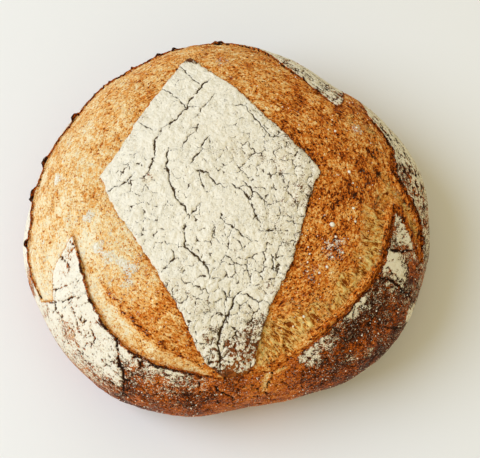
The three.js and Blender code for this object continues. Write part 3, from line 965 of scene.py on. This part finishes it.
class LOAF_OT_rim_crust(bpy.types.Operator):
    """Build the rim, sides and base of the loaf as one closed skin"""

    bl_idname = "loaf.rim_crust"
    bl_label = "Rim and Base Crust"

    def execute(self, context):
        """Rings of points round the crown, down the sides and in under the base, with a point
        at each pole. Points near a lip are moved onto it, so that the skin ends there in a
        clean edge, and the skin inside the lips is sunk under the opened crumb. The rings are
        close together where the lips run, and coarser under the crumb, on the side and on
        the base."""
        columns = 900
        rings = np.concatenate([
            [4.0], np.linspace(25.0, 84.0, 4), np.arange(88.0, 164.0, 0.9),
            np.arange(164.0, BASE_EDGE - 5.0, 2.2),
            BASE_EDGE - np.array([4.0, 2.6, 1.4, 0.6, 0.0]),
            BASE_EDGE + np.array([1.5, 6.0, 20.0, 50.0, 80.0]),
        ])
        angle = np.linspace(-math.pi, math.pi, columns, endpoint=False)
        s, theta = [grid.ravel() for grid in np.meshgrid(rings, angle, indexing="ij")]
        u, v = s * np.cos(theta), s * np.sin(theta)
        near = (s > LIPS_FROM) & (s < LIPS_TO)
        gap = np.full(len(u), FAR)
        opened = s <= LIPS_FROM
        gap[near], _, place = nearest_on(closed(OPENED), u[near], v[near])
        opened[near] = inside(OPENED, u[near], v[near])
        snap = near & (gap < LIP_SNAP)
        u[snap], v[snap] = place[snap[near]].T
        points = on_loaf(u, v, 0.0)

        fade = 1 - ease(BASE_EDGE - 16.0, BASE_EDGE - 1.0, s)
        bake, flour, reach, golden = rim_skin(u, v, points, gap)
        lift = (skin_relief(points) - 1.1 * groove_of(reach)) * fade
        lift = lift + 0.35 * np.exp(-gap / 4.0) - 0.6 * golden
        lift = np.where(opened & ~snap, -SUNK, lift)
        inner = opened | snap
        base = s > BASE_EDGE - 0.5
        bake = np.where(inner, by_direction(CRUMB_BAKE, u, v) + 0.12, bake)
        bake = np.where(base, 0.74 + 0.06 * layered(points, 12.0, 2, 73), bake)
        flour = np.where(base, 0.42 + 0.2 * layered(points, 16.0, 2, 79), flour)
        flour = np.where(inner, 0.0, flour)

        rows = len(rings)
        top = np.array([[-CENTRE[0], -CENTRE[1], HEIGHT - SUNK]])
        bottom = np.array([[-CENTRE[0], -CENTRE[1], 0.0]])
        points = np.concatenate([on_loaf(u, v, lift), top, bottom])
        count = rows * columns
        fans = np.concatenate([
            ring_fan(np.arange(columns), count),
            ring_fan(np.arange(count - columns, count), count + 1)[:, ::-1],
        ])
        marks = crust_marks(bake, flour, groove_mark(reach) * fade, ((0.5, 0.0), (0.7, 0.4)))
        quads = grid_quads(rows, columns, wrap_columns=True)
        material = rim_material("rim_crust", context.scene.loaf.colours)
        make_piece("rim_crust", points, quads, fans, marks, material)
        return {"FINISHED"}


def late_tear(u, v, points, angle, lip_gap):
    """Lift and change of bake by the late tear inside the front left lip: a ragged ridge that
    fades out at both ends, and a pale hollow between it and the lip."""
    wander_u = u + 1.1 * layered(points, 5.0, 3, 83)
    wander_v = v + 1.1 * layered(points, 5.0, 3, 89)
    gap, walked, _ = nearest_on(smooth_curve(TEAR_RIDGE, 4.0), wander_u, wander_v)
    front_left = ease(-172, -158, angle) * (1 - ease(-100, -92, angle))
    near, wide = np.exp(-((gap / 1.3) ** 2)), np.exp(-((gap / 4.0) ** 2))
    ends = ease(0, 22, walked) * (1 - ease(70, 92, walked))
    ragged = np.clip(0.8 + 0.9 * layered(points, 4.0, 2, 91), 0.1, 1.6)
    ridge = front_left * ends
    lipward = ease(-2.0, 2.0, gap - lip_gap + 9.0) * ease(-4.0, 3.0, 12.0 - lip_gap)
    hollow = front_left * lipward * ease(0.0, 6.0, gap)
    lift = ridge * (ragged * near + 0.5 * wide) - 0.7 * hollow
    bake = 0.26 * ridge * (ragged * near + 0.3 * wide) - 0.22 * hollow
    return lift, bake


def torn_strands(points, angle, lip_gap, lip_walk, strand_height):
    """Lift and change of bake where the crumb is torn beside the front right lip: strands
    along the borders of long cells, some cells sunk to holes, inside a lumpy edge rolled
    along the lip. Also how torn it is, the same outside the roll, and how much is hole."""
    right = ease(-88, -70, angle) * (1 - 0.6 * ease(2, 14, angle)) * (1 - ease(28, 40, angle))
    lumpy = layered(np.stack([lip_walk, lip_walk * 0, lip_walk * 0], 1), 9.0, 3, 93)
    roll = ease(-70, -52, angle) * (1 - ease(6, 16, angle))
    roll = roll * np.exp(-(((lip_gap - 3.0 - 0.9 * lumpy) / (1.9 + 0.8 * lumpy)) ** 2))
    _, border, chosen = crack_web(lip_walk * 1.7, lip_gap, points, 10.0, 0.9, 97)
    strands = 1.6 * np.exp(-((border / 1.1) ** 2)) - 0.8
    hole = (chosen > 0.45) * ease(1.0, 2.6, border)
    deep = 16.0 * (1 - ease(-72, -52, angle)) + 9.0 * layered(points, 16.0, 3, 95)
    torn = right * ease(2.0, 10.0, lip_gap) * (1 - ease(7.0, 25.0, lip_gap - deep))
    lift = torn * (strand_height * strands - 0.8 - 0.6 * hole) + (1.5 + 1.6 * lumpy) * roll
    # Strands are paler, and the holes between them are darkened as painted shade.
    bake = (0.11 + 0.2 * lumpy) * roll - 0.12 * torn * (strands - hole)
    return lift, bake, torn, np.clip(torn * (1 - roll), 0, 1), torn * hole


def opened_crumb(u, v, strand_height):
    """Lift and marks of the opened crumb at map points. The floor of a slash sinks towards
    the panel and the lips and bulges between them. It has the late tear at the front left
    and torn strands at the front right, wrinkles at the back right, streaks round the loaf,
    listed creases, and pits. Outside the lips it dives under the rim's skin."""
    lip_gap, lip_walk, _ = nearest_on(closed(OPENED), u, v)
    panel_gap, _, _ = nearest_on(closed(PANEL), u, v)
    panel_gap = np.where(inside(PANEL, u, v), 0.0, panel_gap)
    points = on_loaf(u, v, 0.0)
    angle = np.degrees(np.arctan2(v, u))
    width = np.minimum(panel_gap + lip_gap, WIDEST_SLASH)
    share = panel_gap / np.maximum(panel_gap + lip_gap, 1e-6)
    lip_depth = by_direction(LIP_DEPTH, u, v)
    lift = -(INNER_DEPTH + (lip_depth - INNER_DEPTH) * share)
    lift = lift + BULGE_SLOPE * width * np.sin(math.pi * share) ** BULGE_POWER
    bake = by_direction(CRUMB_BAKE, u, v) + patches(u, v, points, CRUMB_TONES, 137)

    tear_lift, tear_bake = late_tear(u, v, points, angle, lip_gap)
    torn_lift, torn_bake, torn, fibres, holes = torn_strands(
        points, angle, lip_gap, lip_walk, strand_height)
    lift = lift + tear_lift + torn_lift
    bake = bake + tear_bake + torn_bake

    wrinkled = ease(8, 26, angle) * (1 - ease(90, 112, angle))
    wrinkles = folds(points, 3.2, 101)
    streaks = ring_noise(u, v, 9.0, 1.8, 105)
    grain = layered(points, 2.0, 2, 103)
    # The wrinkles, streaks and grain are coloured in step with their relief: paler where they
    # rise and darker where they sink. This is painted highlight and shade over the crumb's own
    # tone.
    lift = lift + (0.35 + 0.65 * wrinkled) * 0.9 * (wrinkles - 0.6) - 0.22 * streaks
    lift = lift + 0.36 * grain + 0.6 * layered(points, 11.0, 3, 109)
    bake = bake + (0.4 + 0.6 * wrinkled) * 0.24 * (0.62 - wrinkles) + 0.12 * streaks
    bake = bake - 0.10 * grain + 0.18 * layered(points, 10.0, 4, 113)
    crease_and_shade = groove_of(crack_reach(u, v, points, CRUMB_CREASES, 117))
    lift = lift - 1.0 * crease_and_shade
    # Painted shade: the creases are darkened as well as sunk.
    bake = bake + 0.9 * by_direction(CRUMB_BAKE, u, v) * crease_and_shade
    golden = groove_of(crack_reach(u, v, points, GOLDEN_CRACKS, 75))
    bake = bake + (GOLDEN_BAKE - bake) * golden
    # Painted shade: the crumb is darkened in a thin band along the panel's raised edge and in a
    # thinner one along the lips, where their edges overhang it.
    bake = bake + 0.16 * np.exp(-panel_gap / 1.4) + 0.20 * np.exp(-lip_gap / 1.0)

    border, chosen = cell_borders(u, v, 7.0, 127)
    pits = (chosen > 0.8) * ease(1.7, 2.9, border) * (0.25 + 0.75 * np.maximum(wrinkled, torn))
    lift = lift - 0.9 * pits
    flour = by_direction(CRUMB_DUST, u, v) + 0.10 * layered(points, 14.0, 3, 131)
    flour = np.clip(flour + patches(u, v, points, CRUMB_FLOUR, 133), 0, 1)
    dive = -lip_depth - 0.6 - 0.4 * lip_gap
    lift = np.where(inside(OPENED, u, v), lift, np.minimum(lift, dive))
    # Painted shade: the groove mark paints the sunk pits in the dark crack colour.
    marks = crust_marks(bake, flour, 0.68 * pits)
    marks.update({"along": lip_walk, "inward": lip_gap, "torn": fibres, "pit": holes})
    return lift, marks


def reach_round(outline, centre, direction, pick):
    """How far an outline reaches from a centre in each direction: the pick, nearest or
    farthest, of its points in each degree, with empty degrees filled in between."""
    degrees = 360
    ends = zip(outline, np.roll(outline, -1, axis=0))
    dense = np.concatenate([np.linspace(a, b, 12, endpoint=False) for a, b in ends]) - centre
    turn = (np.arctan2(dense[:, 1], dense[:, 0]) + math.pi) / (2 * math.pi) * degrees
    turn = np.floor(turn).astype(int) % degrees
    far = np.hypot(*dense.T)
    known = np.unique(turn)
    reach = [pick(far[turn == k]) for k in known]
    middle = np.radians(known + 0.5) - math.pi
    return np.interp(direction, middle, reach, period=2 * math.pi)


class LOAF_OT_opened_crumb(bpy.types.Operator):
    """Build the crumb that the slashes opened, as one closed ring round the panel"""

    bl_idname = "loaf.opened_crumb"
    bl_label = "Opened Crumb"

    def execute(self, context):
        """Columns run outwards from just under the panel's edge to just under the rim's skin,
        and the ring is closed by a deeper, plain underside. The outer end follows the lips'
        farthest reach, spread and then averaged over the columns beside it, so that it has no
        jumps."""
        columns, rows = 920, 102
        spread, averaged = 30, 18  # columns to either side
        under_panel, under_rim, narrowest = 5.0, 4.0, 6.0
        centre = np.array([-6.0, 4.0])
        direction = np.linspace(-math.pi, math.pi, columns, endpoint=False)
        inner = reach_round(PANEL, centre, direction, np.min) - under_panel
        outer = reach_round(OPENED, centre, direction, np.max)
        outer = np.stack([np.roll(outer, k) for k in range(-spread, spread + 1)]).max(0)
        outer = np.stack([np.roll(outer, k) for k in range(-averaged, averaged + 1)]).mean(0)
        outer = np.maximum(outer + under_rim, inner + narrowest)
        reach = inner + (outer - inner) * np.linspace(0, 1, rows)[:, None]
        u = (centre[0] + reach * np.cos(direction)).ravel()
        v = (centre[1] + reach * np.sin(direction)).ravel()
        lift, marks = opened_crumb(u, v, context.scene.loaf.strand_height)

        under = np.append(np.arange(-columns, 0) + rows * columns, np.arange(columns))
        u, v = np.append(u, u[under]), np.append(v, v[under])
        lift = np.append(lift, np.full(len(under), -CRUMB_UNDERSIDE))
        marks = {name: np.append(values, values[under]) for name, values in marks.items()}
        quads = grid_quads(rows + 2, columns, wrap_rows=True, wrap_columns=True)
        colours = context.scene.loaf.colours
        material = crust_material("opened_crumb", colours, grain=1.2, contrast=1.5, creases=0.1,
                                  roughness=0.5, gloss=0.06, strands=True, pores=0.3,
                                  haze_share=0.14, thin=colours.flour)
        make_piece("opened_crumb", on_loaf(u, v, lift), quads, [], marks, material)
        return {"FINISHED"}


def panel_patch(rows, columns):
    """Map points of a patch blended between the panel's four edge curves: the sum of the two
    ruled patches less the one ruled from the corners."""
    a = np.linspace(0, 1, rows)[:, None, None]
    b = np.linspace(0, 1, columns)[None, :, None]

    def edge(name, count):
        """Points spread evenly along one of the panel's edges."""
        line = smooth_curve(PANEL_EDGES[name], 0.5)
        t = np.linspace(0, len(line) - 1, count)
        return np.stack([np.interp(t, np.arange(len(line)), line[:, k]) for k in range(2)], 1)

    left, right = edge("upper_left", rows)[:, None], edge("lower_right", rows)[:, None]
    top, foot = edge("upper_right", columns)[None], edge("lower_left", columns)[None]
    corners = ((1 - a) * (1 - b) * left[0] + (1 - a) * b * right[0]
               + a * (1 - b) * left[-1] + a * b * right[-1])
    patch = (1 - b) * left + b * right + (1 - a) * top + a * foot - corners
    return patch[..., 0].ravel(), patch[..., 1].ravel()


def panel_skin(u, v, points, edge_gap, crack_depth):
    """Lift, bake, flour and groove of the floured panel at map points. Long cracks run over
    it, and webs of short ones where it is cobbled. Its flour is worn off in places, along
    the edge and at the foot, where the skin also crumbles into holes."""
    main = crack_reach(u, v, points, PANEL_CRACKS, 163)
    cobbled = layered(points, 30.0, 1, 179) - 0.006 * (v + 10) + 0.008 * (u + 5)
    cobbled = ease(-0.45, 0.35, cobbled)
    web, border, chosen = crack_web(u, v, points, 8.0, 0.44, 167)
    web = web / (0.15 + 0.85 * cobbled) + 0.15
    fine_web, _, _ = crack_web(u, v, points, 4.2, 0.40, 183)
    finer = ease(-0.2, 0.4, layered(points, 14.0, 2, 185)) * (0.2 + 0.8 * cobbled)
    fine_web = fine_web / np.maximum(finer, 0.05) + 0.6
    groove = groove_mark(np.minimum.reduce([main, web, fine_web]))

    crumbly = layered(points, 1.7, 2, 191)
    broken = ease(74.0, 112.0, -v) * ease(-28, -8, u)
    holes = ease(0.2, 0.5, layered(points, 2.0, 3, 197) + 0.25 * broken) * broken
    foot_fade = ease(114.0, 126.0, -v)
    lift = (
        0.5 * layered(points, 22.0, 2, 11) + 0.7 * layered(points, 8.0, 2, 193)
        + 0.5 * layered(points, 3.6, 2, 195) + 0.2 * crumbly
        + 0.5 * cobbled * (chosen - 0.5) * ease(0.0, 1.6, border)
        + 0.35 * cobbled * ease(0.0, 2.4, border)
        - crack_depth * groove_of(main) - 0.4 * groove_of(web) - 0.25 * groove_of(fine_web)
        - 0.6 * np.exp(-edge_gap / 0.5) - 1.2 * foot_fade - 0.4 * holes
    )
    flour = 0.93 + 0.12 * layered(points, 8.0, 3, 199) + patches(u, v, points, PANEL_WORN, 187)
    flour = flour - 0.55 * holes - 0.12 * broken - 0.14 * cobbled * ease(-20, 50, u)
    flour = flour - 1.1 * foot_fade - 0.25 * np.exp(-edge_gap / 0.8)
    bake = 0.88 - 0.18 * ease(90.0, 116.0, -v) * ease(-4, 8, u) + 0.1 * crumbly
    return lift, bake, flour, groove


class LOAF_OT_floured_panel(bpy.types.Operator):
    """Build the floured, cracked panel of skin on the crown"""

    bl_idname = "loaf.floured_panel"
    bl_label = "Floured Panel"

    def execute(self, context):
        """The patch between the panel's edges, ragged along its border, which is folded under
        and closed to one point."""
        rows, columns = 300, 318
        u, v = panel_patch(rows, columns)
        edge_gap, _, _ = nearest_on(closed(PANEL), u, v)
        points = on_loaf(u, v, 0.0)
        ragged = 1.1 * np.exp(-edge_gap / 2.5)
        u = u + ragged * layered(points, 5.0, 4, 151)
        v = v + ragged * layered(points, 5.0, 4, 157)
        crack_depth = context.scene.loaf.crack_depth
        lift, bake, flour, groove = panel_skin(u, v, points, edge_gap, crack_depth)

        border = np.concatenate([
            np.arange(columns), (np.arange(1, rows) + 1) * columns - 1,
            rows * columns - 2 - np.arange(columns - 1), np.arange(rows - 2, 0, -1) * columns,
        ])
        middle = np.array([-6.0, 0.0])
        edge = np.stack([u[border], v[border]], 1)
        inward = middle - edge
        inward = inward / np.linalg.norm(inward, axis=1, keepdims=True)
        quads = [grid_quads(rows, columns)[:, ::-1]]
        above = border
        for shrink, drop in PANEL_SKIRTS:
            below = len(u) + np.arange(len(border))
            quads.append(np.stack([below, np.roll(below, -1), np.roll(above, -1), above], 1))
            skirt = edge + inward * shrink
            u, v = np.append(u, skirt[:, 0]), np.append(v, skirt[:, 1])
            lift = np.append(lift, np.full(len(border), -drop))
            above = below
        fan = ring_fan(above, len(u))[:, ::-1]
        u, v = np.append(u, middle[0]), np.append(v, middle[1])
        lift = np.append(lift, -PANEL_UNDERSIDE)
        hidden = ((0.7, 0.0),) * (len(u) - len(bake))
        marks = crust_marks(bake, flour, groove, hidden)
        colours = context.scene.loaf.colours
        material = crust_material("floured_skin", colours, grain=1.1, contrast=0.6, creases=0.0,
                                  flour_grain=0.75, roughness=0.6, worn_dark=0.5, pores=0.5,
                                  crack=colours.crack)
        make_piece("floured_panel", on_loaf(u, v, lift), np.concatenate(quads), fan, marks,
                   material)
        return {"FINISHED"}


# Each ear: the lip that it curls up from, the share of the ear rise that it reaches, the
# width of its foot on the rim, which side of the lip's line the rim is on (1 left, -1 right),
# how much of the lip is left bare at both ends, the bake of its torn face, how much its edge
# is scorched, and a seed.
EARS = (
    dict(name="ear_front_left", lip="lower_left", share=0.56, width=10.0, side=-1, bare=(2, 2),
         face=0.74, scorch=0.46, seed=301),
    dict(name="ear_front_right", lip="lower_right", share=0.50, width=9.0, side=1, bare=(2, 42),
         face=0.62, scorch=0.14, seed=307),
    dict(name="ear_left", lip="left", share=0.85, width=8.0, side=-1, bare=(2, 2), face=0.66,
         scorch=0.60, seed=311),
    dict(name="ear_top", lip="top", share=0.50, width=9.0, side=1, bare=(2, 2), face=0.64,
         scorch=0.28, seed=313),
    dict(name="ear_right", lip="right", share=0.60, width=9.0, side=1, bare=(2, 2), face=0.66,
         scorch=0.16, seed=317),
)
EAR_STEP = 0.6  # distance between an ear's sections
EAR_FOOT = 0.9  # depth under the rim's skin that an ear starts at
EAR_BURIED = 4.5  # and the one that it ends at
# The torn face under an ear's edge: distance back from the edge, and drop.
EAR_FACE = ((0.15, 0.45), (0.7, 1.0), (1.8, 2.2), (3.0, 4.5))


def ear_line(lip, side, bare):
    """Points along a lip without its bare ends, and the smoothed direction out to the rim."""
    line = smooth_curve(LIPS[lip], EAR_STEP)
    line = line[round(bare[0] / EAR_STEP):-round(bare[1] / EAR_STEP)]
    heading = np.gradient(line, axis=0)
    heading = heading / np.linalg.norm(heading, axis=1, keepdims=True)
    taps = 17
    padded = np.pad(heading, ((taps // 2, taps // 2), (0, 0)), "edge")
    heading = np.stack([np.convolve(padded[:, k], np.ones(taps) / taps, "valid")
                        for k in range(2)], 1)
    return line, np.stack([-heading[:, 1], heading[:, 0]], 1) * side


def make_ear(ear_rise, material, name, lip, share, width, side, bare, face, scorch, seed):
    """Makes an ear: a closed section carried along its lip, up from the rim's skin to a
    crest, over a ragged torn edge, and back under it into the loaf."""
    line, outward = ear_line(lip, side, bare)
    count = len(line)
    walked = np.arange(count) * EAR_STEP
    flat = np.stack([walked, walked * 0, walked * 0], 1)
    over = (0.5 + 1.0 * layered(flat, 5.0, 4, seed))[:, None]
    fade = ease(-1.0, 16.0, np.minimum(walked, walked[-1] - walked))
    chunks = 0.5 + 1.2 * ease(0.0, 0.4, layered(flat, 13.0, 4, seed + 3))
    rise = (ear_rise * share * fade * chunks)[:, None]

    t = 1 - (1 - np.linspace(0, 1, 22)) ** 1.6
    reach = width * (1 - t) - over * t
    lift = (rise + EAR_FOOT) * (t ** 1.7 - 0.25 * ease(0.88, 1.0, t)) - EAR_FOOT
    back, drop = np.array(EAR_FACE).T
    crest = lift[:, -1:]
    column = np.ones((count, 1))
    reach = np.concatenate([reach, back - over, width * 0.9 * column], 1)
    lift = np.concatenate([lift, crest - drop, -EAR_BURIED * column], 1)
    u = (line[:, :1] + outward[:, :1] * reach).ravel()
    v = (line[:, 1:] + outward[:, 1:] * reach).ravel()
    points = on_loaf(u, v, 0.0)
    section = reach.shape[1]

    beneath = np.tile(np.arange(section) >= len(t), count) * 1.0
    from_edge = (reach + over).ravel() + 0.7 * layered(points, 3.0, 3, seed + 5)
    edge = np.maximum(1 - ease(0.3, 0.7 + 4.0 * scorch, from_edge), beneath)
    lip_gap, _, _ = nearest_on(line, u, v)
    bake, flour, crack, _ = rim_skin(u, v, points, lip_gap)
    mottle = layered(points, 3.0, 3, seed + 9)
    bake = bake + (face + 0.2 * mottle - bake) * beneath
    burnt = np.repeat(ease(0.5, 1.3, chunks), section) * ease(-0.5, 0.3, mottle)
    bake = bake + scorch * edge * (1 - 0.6 * beneath) * (0.3 + burnt)

    lift = lift.ravel() + skin_relief(points) - 0.8 * groove_of(crack)
    points = on_loaf(u, v, lift)
    first = np.arange(section)
    last = first + (count - 1) * section
    tips = np.stack([points[first].mean(0), points[last].mean(0)])
    points = np.concatenate([points, tips])
    quads = grid_quads(count, section, wrap_columns=True)
    fans = np.concatenate([ring_fan(first, count * section),
                           ring_fan(last, count * section + 1)[:, ::-1]])
    marks = crust_marks(bake, flour * (1 - edge), groove_mark(crack), ((0.8, 0.0),) * 2)
    make_piece(name, points, quads, fans, marks, material)


class LOAF_OT_ears(bpy.types.Operator):
    """Build the curled ears along the slashes' lips"""

    bl_idname = "loaf.ears"
    bl_label = "Ears"

    def execute(self, context):
        """Makes each ear in turn, all in one material."""
        settings = context.scene.loaf
        material = rim_material("ear_crust", settings.colours)
        for ear in EARS:
            make_ear(settings.ear_rise, material, **ear)
        return {"FINISHED"}


GRAIN_RISE = 0.12  # height of a grain's middle above the surface, as a share of its size
GRAIN_FLATNESS = 0.55  # a grain's height as a share of its size
GRAIN_SMALLEST = 0.3  # mm
GRAIN_SEED = 41


def scattered(random, count, bearings, reaches, growth, power):
    """Loose grains at random map points between two bearings, in degrees, and two distances
    from the crown: rows of u, v and size. Sizes grow from the smallest by a power of a random
    number, so that most are small."""
    angle = np.radians(random.uniform(*bearings, count))
    reach = random.uniform(*reaches, count)
    size = GRAIN_SMALLEST + growth * random.random(count) ** power
    return np.stack([reach * np.cos(angle), reach * np.sin(angle), size], 1)


def twenty_sided_ball():
    """Corners at distance 1, and triangles, of a ball with twenty sides."""
    g = (1 + 5 ** 0.5) / 2
    corners = np.array([(-1, g, 0), (1, g, 0), (-1, -g, 0), (1, -g, 0), (0, -1, g), (0, 1, g),
                        (0, -1, -g), (0, 1, -g), (g, 0, -1), (g, 0, 1), (-g, 0, -1), (-g, 0, 1)])
    sides = np.array([(0, 11, 5), (0, 5, 1), (0, 1, 7), (0, 7, 10), (0, 10, 11), (1, 5, 9),
                      (5, 11, 4), (11, 10, 2), (10, 7, 6), (7, 1, 8), (3, 9, 4), (3, 4, 2),
                      (3, 2, 6), (3, 6, 8), (3, 8, 9), (4, 9, 5), (2, 4, 11), (6, 2, 10),
                      (8, 6, 7), (9, 8, 1)])
    return corners / np.linalg.norm(corners[0]), sides


class LOAF_OT_flour_grains(bpy.types.Operator):
    """Scatter loose grains and clots of flour over the crumb and the bare front of the rim"""

    bl_idname = "loaf.flour_grains"
    bl_label = "Flour Grains"

    def execute(self, context):
        """Each grain is a jittered, flattened ball, a little sunk in the surface under it. The
        loose ones lie on the crumb, most of them at its right, and on the front of the rim."""
        settings = context.scene.loaf
        random = np.random.default_rng(GRAIN_SEED)
        count = settings.grain_count
        loose = scattered(random, count, (-180, 180), (40, 128), 0.8, 4)
        on_crumb = inside(OPENED, *loose[:, :2].T) & ~inside(PANEL, *loose[:, :2].T)
        kept_elsewhere = random.random(count) < 0.4
        on_crumb &= (loose[:, 0] > 30) | kept_elsewhere
        crumb_grains = np.concatenate([CLOTS, loose[on_crumb]])
        loose = scattered(random, count, (-135, 5), (104, 172), 0.9, 3)
        rim_grains = loose[~inside(OPENED, *loose[:, :2].T)]

        crumb_lift, _ = opened_crumb(*crumb_grains[:, :2].T, settings.strand_height)
        rim_lift = skin_relief(on_loaf(*rim_grains[:, :2].T, 0.0))
        u, v, size = np.concatenate([crumb_grains, rim_grains]).T
        centres = on_loaf(u, v, np.append(crumb_lift, rim_lift) + GRAIN_RISE * size)
        ball, sides = twenty_sided_ball()
        number, corners = len(size), len(ball)
        shapes = ball * random.uniform(0.65, 1.2, (number, corners, 1))
        shapes = shapes * size[:, None, None] * np.array([1.0, 1.0, GRAIN_FLATNESS]) / 2
        points = (centres[:, None] + shapes).reshape(-1, 3)
        faces = (sides + corners * np.arange(number)[:, None, None]).reshape(-1, 3)
        zeros = np.zeros(len(points))
        marks = crust_marks(zeros + 0.1, zeros + 1.0, zeros)
        material = crust_material("flour_grain", settings.colours, flour_grain=0.6,
                                  roughness=0.9, gloss=0.2)
        make_piece("flour_grains", points, [], faces, marks, material)
        return {"FINISHED"}


FLOOR_HALF = 12.0  # metres
FLOOR_ROUGHNESS = 0.6
# Each soft disc light: place in metres, size, power in watts and tint.
LIGHTS = {
    "window": ((-1.9, -0.1, 2.05), 2.2, 72.7, (0.62, 0.73, 1.0)),
    "fill": ((0.3, -2.2, 1.5), 2.2, 4.7, (1.0, 0.75, 0.3)),
}
LIGHTS_AIM = (0, 0, 0.05)
ROOM_TINT = (1.0, 0.91, 0.62)
ROOM_STRENGTH = 0.62
SENSOR_WIDTH = 36.0  # mm
LENS = 88.6875  # mm
CAMERA_DISTANCE = 0.75  # metres
CAMERA_ELEVATION = 70  # degrees
CAMERA_AIM = (9.25, -3.39, 45.0)  # mm from the point of the base under the crown


class LOAF_OT_stage(bpy.types.Operator):
    """Set the pale floor, the soft window light and the camera"""

    bl_idname = "loaf.stage"
    bl_label = "Stage"

    def execute(self, context):
        """Floor, two disc lights, the room's own light, and the camera looking down."""
        scene = context.scene
        half = FLOOR_HALF
        floor_mesh = bpy.data.meshes.new("floor")
        floor_mesh.from_pydata([(-half, -half, 0), (half, -half, 0), (half, half, 0),
                                (-half, half, 0)], [], [(0, 1, 2, 3)])
        floor = bpy.data.objects.new("floor", floor_mesh)
        scene.collection.objects.link(floor)
        paint = bpy.data.materials.new("floor_paint")
        paint.use_nodes = True
        shader = paint.node_tree.nodes["Principled BSDF"]
        shader.inputs["Base Color"].default_value = (*scene.loaf.colours.floor, 1.0)
        shader.inputs["Roughness"].default_value = FLOOR_ROUGHNESS
        floor_mesh.materials.append(paint)

        for name, (place, size, power, tint) in LIGHTS.items():
            light = bpy.data.lights.new(name, "AREA")
            light.shape = "DISK"
            light.size = size
            light.energy = power
            light.color = tint
            lamp = bpy.data.objects.new(name, light)
            scene.collection.objects.link(lamp)
            lamp.location = place
            beam = Vector(LIGHTS_AIM) - Vector(place)
            lamp.rotation_euler = beam.to_track_quat("-Z", "Y").to_euler()
        world = bpy.data.worlds.new("room")
        world.use_nodes = True
        background = world.node_tree.nodes["Background"]
        background.inputs["Color"].default_value = (*ROOM_TINT, 1.0)
        background.inputs["Strength"].default_value = ROOM_STRENGTH
        scene.world = world
        scene.view_settings.view_transform = "Standard"

        camera_data = bpy.data.cameras.new("camera")
        camera_data.sensor_width = SENSOR_WIDTH
        camera_data.lens = LENS
        camera = bpy.data.objects.new("camera", camera_data)
        scene.collection.objects.link(camera)
        elevation = math.radians(CAMERA_ELEVATION)
        back = Vector((0, -math.cos(elevation), math.sin(elevation)))
        aim = (Vector(CAMERA_AIM) - Vector((*CENTRE, 0))) * MM
        camera.location = aim + back * CAMERA_DISTANCE
        camera.rotation_euler = (-back).to_track_quat("-Z", "Y").to_euler()
        scene.camera = camera
        return {"FINISHED"}


class LOAF_PT_panel(bpy.types.Panel):
    """The loaf's settings and builders"""

    bl_idname = "LOAF_PT_panel"
    bl_label = "Country Loaf"
    bl_space_type = "VIEW_3D"
    bl_region_type = "UI"
    bl_category = "Loaf"

    def draw(self, context):
        settings = context.scene.loaf
        for name in ("ear_rise", "crack_depth", "strand_height", "grain_count"):
            self.layout.prop(settings, name)
        for name in LoafColours.__annotations__:
            self.layout.prop(settings.colours, name)
        for builder in BUILDERS:
            self.layout.operator(builder.bl_idname)


BUILDERS = (
    LOAF_OT_rim_crust,
    LOAF_OT_opened_crumb,
    LOAF_OT_floured_panel,
    LOAF_OT_ears,
    LOAF_OT_flour_grains,
    LOAF_OT_stage,
)
CLASSES = (LoafColours, LoafSettings, *BUILDERS, LOAF_PT_panel)


def register():
    """Registers the classes and hangs the settings on the scene."""
    for entry in CLASSES:
        bpy.utils.register_class(entry)
    bpy.types.Scene.loaf = PointerProperty(type=LoafSettings)


def unregister():
    """Takes both away again."""
    del bpy.types.Scene.loaf
    for entry in reversed(CLASSES):
        bpy.utils.unregister_class(entry)


def main():
    register()
    for builder in BUILDERS:
        group, action = builder.bl_idname.split(".")
        getattr(getattr(bpy.ops, group), action)()
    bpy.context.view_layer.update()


if __name__ == "__main__":
    main()
